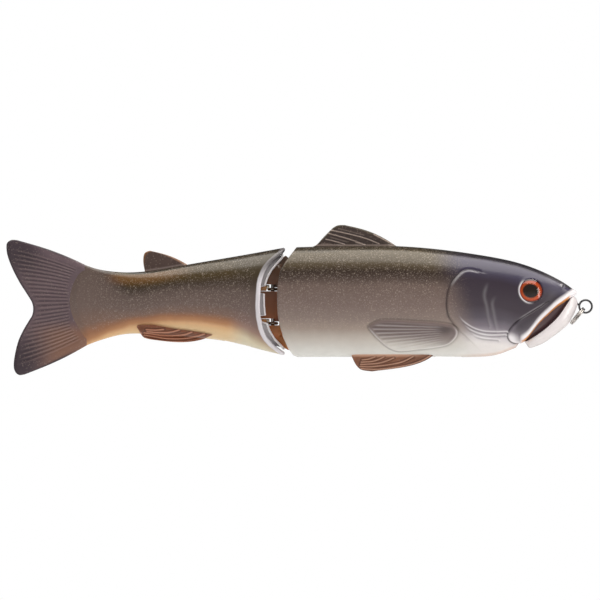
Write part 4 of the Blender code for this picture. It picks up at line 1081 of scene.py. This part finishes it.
def wire(points, radius, sides=10):
    """A round wire through points in millimetres, as a bmesh with closed ends."""
    curve = bpy.data.curves.new("wire", "CURVE")
    curve.dimensions = "3D"
    curve.bevel_depth, curve.bevel_resolution = radius * MM, sides // 2 - 2
    curve.use_fill_caps = True
    line = curve.splines.new("POLY")
    line.points.add(len(points) - 1)
    for point, at in zip(line.points, points):
        point.co = (*(Vector(at) * MM), 1)
    holder = bpy.data.objects.new("wire", curve)
    bpy.context.scene.collection.objects.link(holder)
    bpy.context.view_layer.update()
    mesh = bpy.data.meshes.new_from_object(holder.evaluated_get(bpy.context.evaluated_depsgraph_get()))
    bm = bmesh.new()
    bm.from_mesh(mesh)
    bmesh.ops.remove_doubles(bm, verts=bm.verts, dist=0.000002)
    bpy.data.objects.remove(holder)
    bpy.data.curves.remove(curve)
    bpy.data.meshes.remove(mesh)
    return bm


def ring(bm, middle, axis, radius, thick, around=64, sides=16):
    """Adds a wire ring: a circle set beside the axis and spun about it."""
    axis = Vector(axis).normalized()
    beside = axis.orthogonal().normalized()
    turn = Matrix((beside, axis, beside.cross(axis))).transposed().to_4x4()
    spot = Matrix.Translation(Vector(middle) * MM + beside * radius * MM)
    made = bmesh.ops.create_circle(bm, cap_ends=False, segments=sides, radius=thick * MM, matrix=spot @ turn)
    loop = dict.fromkeys(e for v in made["verts"] for e in v.link_edges)
    bmesh.ops.spin(bm, geom=[*made["verts"], *loop], cent=Vector(middle) * MM, axis=axis, angle=2 * math.pi,
                   steps=around, use_merge=True)


bright = steel("Bright wire")
# The line tie's very dark tint is partly its black finish and partly painted dark reflection.
dark_steel = steel("Blackened wire with painted dark reflection", (0.13, 0.13, 0.135), 0.16)
spring_steel = steel("Spring wire", (0.62, 0.59, 0.57), 0.18)
print("wire ready")

# %% Line tie
TIE_RADIUS, TIE_WIRE = 2.76, 0.45
TIE_SHANK = [(-2.7, 0, 0.5), (-4.4, 0, 1.4), (-6.0, 0, 0.0), (-6.6, 0, -2.5), (-8.5, 0, -6.4),
             (-11.9, 0, -10.0)]
bm = wire(through(TIE_SHANK), 0.43)
ring(bm, (0, 0, 0), (0, 1, 0), TIE_RADIUS, TIE_WIRE)
piece("line_tie_wire", bm, "front", dark_steel, "line_tie_eye")

# %% Split ring
COIL_RADIUS, COIL_WIRE, HUNG_BY = 4.2, 0.38, 5.5
crossing, aside_by, hang = math.radians(16), 0.41, math.radians(230)
radial = Vector((math.cos(hang), 0, math.sin(hang)))
square = Vector((-radial.z, 0, radial.x))
coil = []
for turned in np.linspace(2 * crossing, 4 * math.pi - 2 * crossing, 150):
    step = float(np.clip((turned - 2 * math.pi) / crossing, -1, 1))
    aside = aside_by * math.sin(step * math.pi / 2)
    across = Vector((0, COIL_RADIUS * math.sin(turned), 0))
    coil.append(radial * (HUNG_BY + COIL_RADIUS * math.cos(turned)) + across + square * aside)
piece("split_ring_wire", wire(coil, COIL_WIRE, 12), "split_ring", spring_steel, "split_ring")

# %% [markdown]
# ## The joint
# Between the halves stands a block of amber plastic, turned about the hinge pin so that the tail can swing round
# it, with two slots for the wire loops. A keel fills the gap above and below it. The block is spun, and the keel
# and the slots are added and cut with Booleans, as a lathe and a saw would do it on the bench. Each wire loop has
# a bright sleeve and a clear amber collar where it leaves the tail.


# %% Shapes for the joint
def finished(bm, *cuts):
    """The bmesh after each (operation, other bmesh) Boolean."""
    scene = bpy.context.scene.collection
    target = bpy.data.objects.new("work", bpy.data.meshes.new("work"))
    bmesh.ops.recalc_face_normals(bm, faces=bm.faces)
    bm.to_mesh(target.data)
    scene.objects.link(target)
    others = []
    for operation, other in cuts:
        tool = bpy.data.objects.new("tool", bpy.data.meshes.new("tool"))
        bmesh.ops.recalc_face_normals(other, faces=other.faces)
        other.to_mesh(tool.data)
        scene.objects.link(tool)
        step = target.modifiers.new("cut", "BOOLEAN")
        step.operation, step.object, step.solver = operation, tool, "EXACT"
        others.append(tool)
    bpy.context.view_layer.update()
    mesh = bpy.data.meshes.new_from_object(target.evaluated_get(bpy.context.evaluated_depsgraph_get()))
    out = bmesh.new()
    out.from_mesh(mesh)
    bpy.data.meshes.remove(mesh)
    for unused in (target, *others):
        bpy.data.meshes.remove(unused.data)
    return out


def block_of(low, high):
    bm = bmesh.new()
    low, high = Vector(low) * MM, Vector(high) * MM
    size = Matrix.Diagonal((*(high - low), 1))
    bmesh.ops.create_cube(bm, size=1, matrix=Matrix.Translation((low + high) / 2) @ size)
    return bm


def ease(bm, edges, by, segments=3):
    """Rounds edges off."""
    bmesh.ops.bevel(bm, geom=edges, offset=by * MM, segments=segments, profile=0.5, affect="EDGES", material=-1)


def join(bm, other):
    """Adds another bmesh's shape to this one."""
    carrier = bpy.data.meshes.new("carrier")
    other.to_mesh(carrier)
    bm.from_mesh(carrier)
    bpy.data.meshes.remove(carrier)


def bar(start, end, radius, sides=40, chamfer=0.0):
    """A round bar with eased ends."""
    bm = bmesh.new()
    a, b = Vector(start) * MM, Vector(end) * MM
    turn = (b - a).to_track_quat("Z", "Y").to_matrix().to_4x4()
    bmesh.ops.create_cone(bm, cap_ends=True, segments=sides, radius1=radius * MM, radius2=radius * MM,
                          depth=(b - a).length, matrix=Matrix.Translation((a + b) / 2) @ turn)
    if chamfer:
        ease(bm, [e for e in bm.edges if any(len(f.verts) > 4 for f in e.link_faces)], chamfer)
    return bm


print("joint helpers ready")

# %% Amber block and pin
amber, tree, surface = shader("Amber joint plastic", Roughness=0.38, IOR=1.42, Coat_Weight=0.1,
                              Coat_Roughness=0.2)
surface.inputs["Subsurface Weight"].default_value = 0.35
surface.inputs["Subsurface Radius"].default_value = (0.004, 0.0015, 0.0008)
# Painted light and shade: the amber runs from bright orange low down, where light bounces up, to dark brown at the
# top.
height = node(tree, "ShaderNodeSeparateXYZ", {"Vector": spots_on(tree)})
level = node(tree, "ShaderNodeMapRange", {"Value": height.outputs["Z"], "From Min": -0.018, "From Max": 0.020})
tint = ramp_node(tree, level.outputs[0], [(0.0, (0.75, 0.30, 0.10)), (0.35, (0.33, 0.11, 0.040)),
                                          (0.7, (0.20, 0.085, 0.045)), (1.0, (0.16, 0.095, 0.060))])
cloud = sums(tree, "MULTIPLY", noise(tree, 200, 3), 0.3)
coat(tree, surface, mixed(tree, cloud, tint, (0.05, 0.03, 0.02)), 600)

PLUG_RADIUS, PLUG_MIDDLE, PLUG_HALF = 8.6, 2.2, 17.8
bm = bmesh.new()
knots = [bm.verts.new(((HINGE_X + PLUG_RADIUS * math.sin(a)) * MM, 0,
                       (PLUG_MIDDLE + PLUG_HALF * math.cos(a)) * MM))
         for a in np.linspace(0, math.pi, 40)]
spun(bm, knots, (HINGE_X * MM, 0, 0), 72, weld=0.002)
KEEL = [(0.5, -15.0), (2.1, -15.9), (3.6, -17.1), (5.1, -18.2), (6.6, -19.0), (14, -19.0), (14, 20.6),
        (7.0, 21.1), (5.7, 22.2), (4.9, 21.8), (3.9, 20.9), (2.6, 19.7), (1.3, 18.3), (0.7, 16.6)]
KEEL_THICK = 1.6
keel = bmesh.new()
outline = [keel.verts.new(((HINGE_X + x) * MM, -KEEL_THICK / 2 * MM, z * MM)) for x, z in KEEL]
grown = bmesh.ops.extrude_face_region(keel, geom=[keel.faces.new(outline)])["geom"]
bmesh.ops.translate(keel, vec=(0, KEEL_THICK * MM, 0), verts=only(grown, bmesh.types.BMVert))
cuts = [("INTERSECT", block_of((-160, -4.2, -30), (-100, 4.2, 30))),
        ("UNION", block_of((HINGE_X + 1, -5, -10.5), (HINGE_X + 17, 5, 13))),
        ("UNION", block_of((HINGE_X + 0.8, -2.4, -15.6), (HINGE_X + 12, 2.4, 17.6))), ("UNION", keel)]
HINGE_HEIGHTS = {"upper": 7.5, "lower": -7.4}
SLOT_FRONT, WEB_FROM = 2.8, -0.1
for z in HINGE_HEIGHTS.values():
    cuts.append(("DIFFERENCE", block_of((-160, -20, z - 0.85), (HINGE_X + SLOT_FRONT, 20, z + 2.1))))
    cuts.append(("UNION", block_of((HINGE_X + WEB_FROM, -0.5, z + 0.8),
                                   (HINGE_X + SLOT_FRONT + 0.5, 0.5, z + 2.6))))
cuts.append(("DIFFERENCE", bar((HINGE_X, 0, -20), (HINGE_X, 0, 17.4), 0.86)))
piece("joint_block_amber", finished(bm, *cuts), "front", amber, "joint_block")
piece("hinge_pin_steel", bar((HINGE_X, 0, -14.0), (HINGE_X, 0, 17.0), 0.8, 32, 0.2), "front", bright,
      "hinge_pin")

# %% Wire loops and their collars
LOOP_RADIUS, LOOP_WIRE = 1.75, 0.65
brass_tint = steel("Hinge eye wire", (0.90, 0.78, 0.62), 0.24)
clear_amber, tree, surface = shader("Clear amber collar", Roughness=0.18, IOR=1.5, Coat_Weight=0.4,
                                    Coat_Roughness=0.06)
coat(tree, surface, mixed(tree, noise(tree, 500, 3), (0.46, 0.175, 0.045), (0.66, 0.33, 0.12)), 900,
     depth=0.0001)
for level, z in HINGE_HEIGHTS.items():
    bm = bmesh.new()
    ring(bm, (HINGE_X, 0, z), (0, 0, 1), LOOP_RADIUS, LOOP_WIRE)
    join(bm, bar((HINGE_X - 4.5, 0, z), (-153.5, 0, z), 0.63, 24, 0.1))
    sleeve = block_of((HINGE_X - 3.0, -1.3, z + 0.25), (HINGE_X - 1.45, 1.3, z + 1.9))
    ease(sleeve, list(sleeve.edges), 0.3)
    join(bm, sleeve)
    piece(f"{level}_hinge_loop", bm, "tail", brass_tint, f"{level}_hinge_eye")
    collar = block_of((HINGE_X - 6.5, -3.4, z - 0.72), (HINGE_X - 2.7, 3.4, z + 1.95))
    ease(collar, list(collar.edges), 0.45, 4)
    piece(f"{level}_hinge_collar", collar, "tail", clear_amber, f"{level}_hinge_eye", slot="joint_plastic")

# %% [markdown]
# ## The tail's hard rim
# The core halves run under the tail skin, and only their front rim shows: a thin white edge that stands past
# the skin's bead, with a channel beside it and a notch where each wire loop comes out. Each half is a grid on
# the inset body form that is folded over at the rim and runs back inside.

# %% Core halves of the tail
core_look, tree, surface = shader("Milky core plastic", Roughness=0.32, IOR=1.5)
surface.inputs["Subsurface Weight"].default_value = 0.3
surface.inputs["Subsurface Radius"].default_value = (0.002, 0.002, 0.002)
milk = mixed(tree, noise(tree, 150, 3), (0.90, 0.87, 0.88), (0.78, 0.74, 0.75))
shaded = sums(tree, "MULTIPLY", mark(tree, "shade_and_dark_tone"), 0.6)
coat(tree, surface, mixed(tree, shaded, milk, (0.20, 0.17, 0.18)), 800)

CORE_OUTSIDE, CORE_INSIDE, CHANNEL_DEEP = 2.35, 3.7, 0.95  # under the skin's surface, in millimetres
for side, sign in (("right", 1), ("left", -1)):
    bm, order, u, v = grid(64, 120)
    angle = (0.5 - v) * np.pi
    z_at = rear_form(np.full_like(u, -140.0), angle)[..., 2]
    rim_x = np.interp(z_at, RIM_EDGE[:, 0], RIM_EDGE[:, 1])
    for z in HINGE_HEIGHTS.values():
        rim_x -= 2.6 * ramp(-np.abs(z_at - z - 0.45), -2.0, -1.6)
    outer = u < 0.5
    back = np.where(outer, 2 * (0.5 - u), 2 * (u - 0.5))
    behind = -(-165.0 - rim_x) * back**1.9
    x = rim_x - behind
    channel = ramp(behind, 0.75, 1.0) * (1 - ramp(behind, 3.5, 5.0))
    rounding = 0.45 * (1 - ramp(behind, 0.0, 0.35))
    inset = np.where(outer, CORE_OUTSIDE + CHANNEL_DEEP * channel + rounding, CORE_INSIDE - rounding)
    spots = rear_form(x, angle, inset)
    spots[..., 1] = np.minimum(spots[..., 1], -0.15) * sign
    place(bm, order, spots, {"shade_and_dark_tone": np.where(outer, channel, 0)})
    bmesh.ops.holes_fill(bm, edges=open_rim(bm, lambda e: True), sides=0)
    piece(f"rear_core_milky_{side}", bm, "tail", core_look, f"rear_core_{side}")

# %% [markdown]
# ## What stays from the frame
# The front cores, the ballast and the cross pins for hooks keep their frame shapes, because they are hidden or
# plain round bars. They still get real finishes: satin plastic, cast metal and bright steel.

# %% Finish the pieces kept from the frame
cast, tree, surface = shader("Cast ballast", Metallic=1.0, Roughness=0.5)
grey = mixed(tree, noise(tree, 300, 5), (0.20, 0.20, 0.21), (0.36, 0.36, 0.38))
coat(tree, surface, grey, 900, 4, strength=0.4, depth=0.0003)
kept = {
    core_look: ["front_core_right", "front_core_left"],
    cast: ["front_ballast_aft", "front_ballast_fore", "rear_ballast"],
    bright: ["front_hook_pin", "rear_hook_pin"],
}
for look, names in kept.items():
    for name in names:
        for slot in frame["nodes"][name].material_slots:
            slot.material = look
        print(name, "keeps its shape, finish:", look.name)

# %% [markdown]
# ## Stage, light and camera
# A long overhead softbox draws the bright band along the back, and a strip in front picks out the lips. Two broad
# fills light the sides and are hidden from reflections. The rest of the room is a soft gradient: pale below, where
# a white table would bounce light into the belly, and dim above, which leaves the dark band under the highlight.
# The camera looks square at the fish's right side through a long lens.

# %% Floor and light
floor_look, tree, surface = shader("Pale floor", Roughness=0.9, Base_Color=(0.9, 0.9, 0.9, 1))
bm = bmesh.new()
FLOOR_RADIUS, FLOOR_MIDDLE = 0.6, (-0.125, 0, -0.175)
bmesh.ops.create_circle(bm, cap_ends=True, segments=96, radius=FLOOR_RADIUS,
                        matrix=Matrix.Translation(FLOOR_MIDDLE))
mesh = bpy.data.meshes.new("floor")
bm.to_mesh(mesh)
bm.free()
floor = bpy.data.objects.new("floor", mesh)
mesh.materials.append(floor_look)
bpy.context.scene.collection.objects.link(floor)


def softbox(name, at, target, size, power, tint=(1, 1, 1)):
    lamp = bpy.data.lights.new(name, "AREA")
    lamp.shape, lamp.size, lamp.size_y = "RECTANGLE", size[0], size[1]
    lamp.energy, lamp.color = power, tint
    holder = bpy.data.objects.new(name, lamp)
    holder.location = at
    holder.rotation_euler = (Vector(target) - Vector(at)).to_track_quat("-Z", "Y").to_euler()
    bpy.context.scene.collection.objects.link(holder)
    return holder


WARM = (1.0, 0.965, 0.91)
softbox("overhead", (-0.13, -0.03, 0.50), (-0.13, -0.03, 0.0), (0.95, 0.48), 5.4, WARM)
softbox("front strip", (0.50, -0.24, 0.06), (-0.03, 0.0, 0.0), (0.16, 0.5), 1.3, WARM)
for name, side, power in (("near fill", -1, 6.5), ("far fill", 1, 4.5)):
    fill = softbox(name, (0.20, 1.5 * side, 0.30), (-0.11, 0.0, 0.0), (1.2, 0.8), power)
    fill.visible_glossy = fill.visible_camera = False

world = bpy.data.worlds.new("studio")
bpy.context.scene.world = world
world.use_nodes = True
tree = world.node_tree
tree.nodes.clear()
where = node(tree, "ShaderNodeTexCoord").outputs["Generated"]
up = node(tree, "ShaderNodeSeparateXYZ", {"Vector": where}).outputs["Z"]
level = node(tree, "ShaderNodeMapRange", {"Value": up, "From Min": -1.0, "From Max": 1.0}).outputs[0]
room = ramp_node(tree, level, [(0.0, (0.82, 0.81, 0.81)), (0.36, (0.68, 0.67, 0.67)),
                               (0.50, (0.46, 0.45, 0.455)), (0.60, (0.17, 0.165, 0.16)),
                               (0.75, (0.07, 0.07, 0.07)), (1.0, (0.10, 0.10, 0.10))])
seen = node(tree, "ShaderNodeLightPath").outputs["Is Camera Ray"]
light = node(tree, "ShaderNodeBackground", {"Color": mixed(tree, seen, room, (1.0, 1.0, 1.0)), "Strength": 1.0})
out = node(tree, "ShaderNodeOutputWorld", {"Surface": light.outputs[0]})
bpy.context.scene.view_settings.view_transform = "Standard"
print("an overhead softbox, a front strip, two fills and a studio room")

# %% Camera, with its frame width and distance
FRAME_WIDTH, DISTANCE = 0.2624, 2.6
camera = bpy.data.cameras.new("camera")
camera.sensor_width = 36
camera.lens = 36 * DISTANCE / FRAME_WIDTH
camera.clip_end = 20
holder = bpy.data.objects.new("camera", camera)
holder.location = (-0.1249, -DISTANCE, 0.0028)
holder.rotation_euler = (math.radians(90), 0, 0)
bpy.context.scene.collection.objects.link(holder)
bpy.context.scene.camera = holder
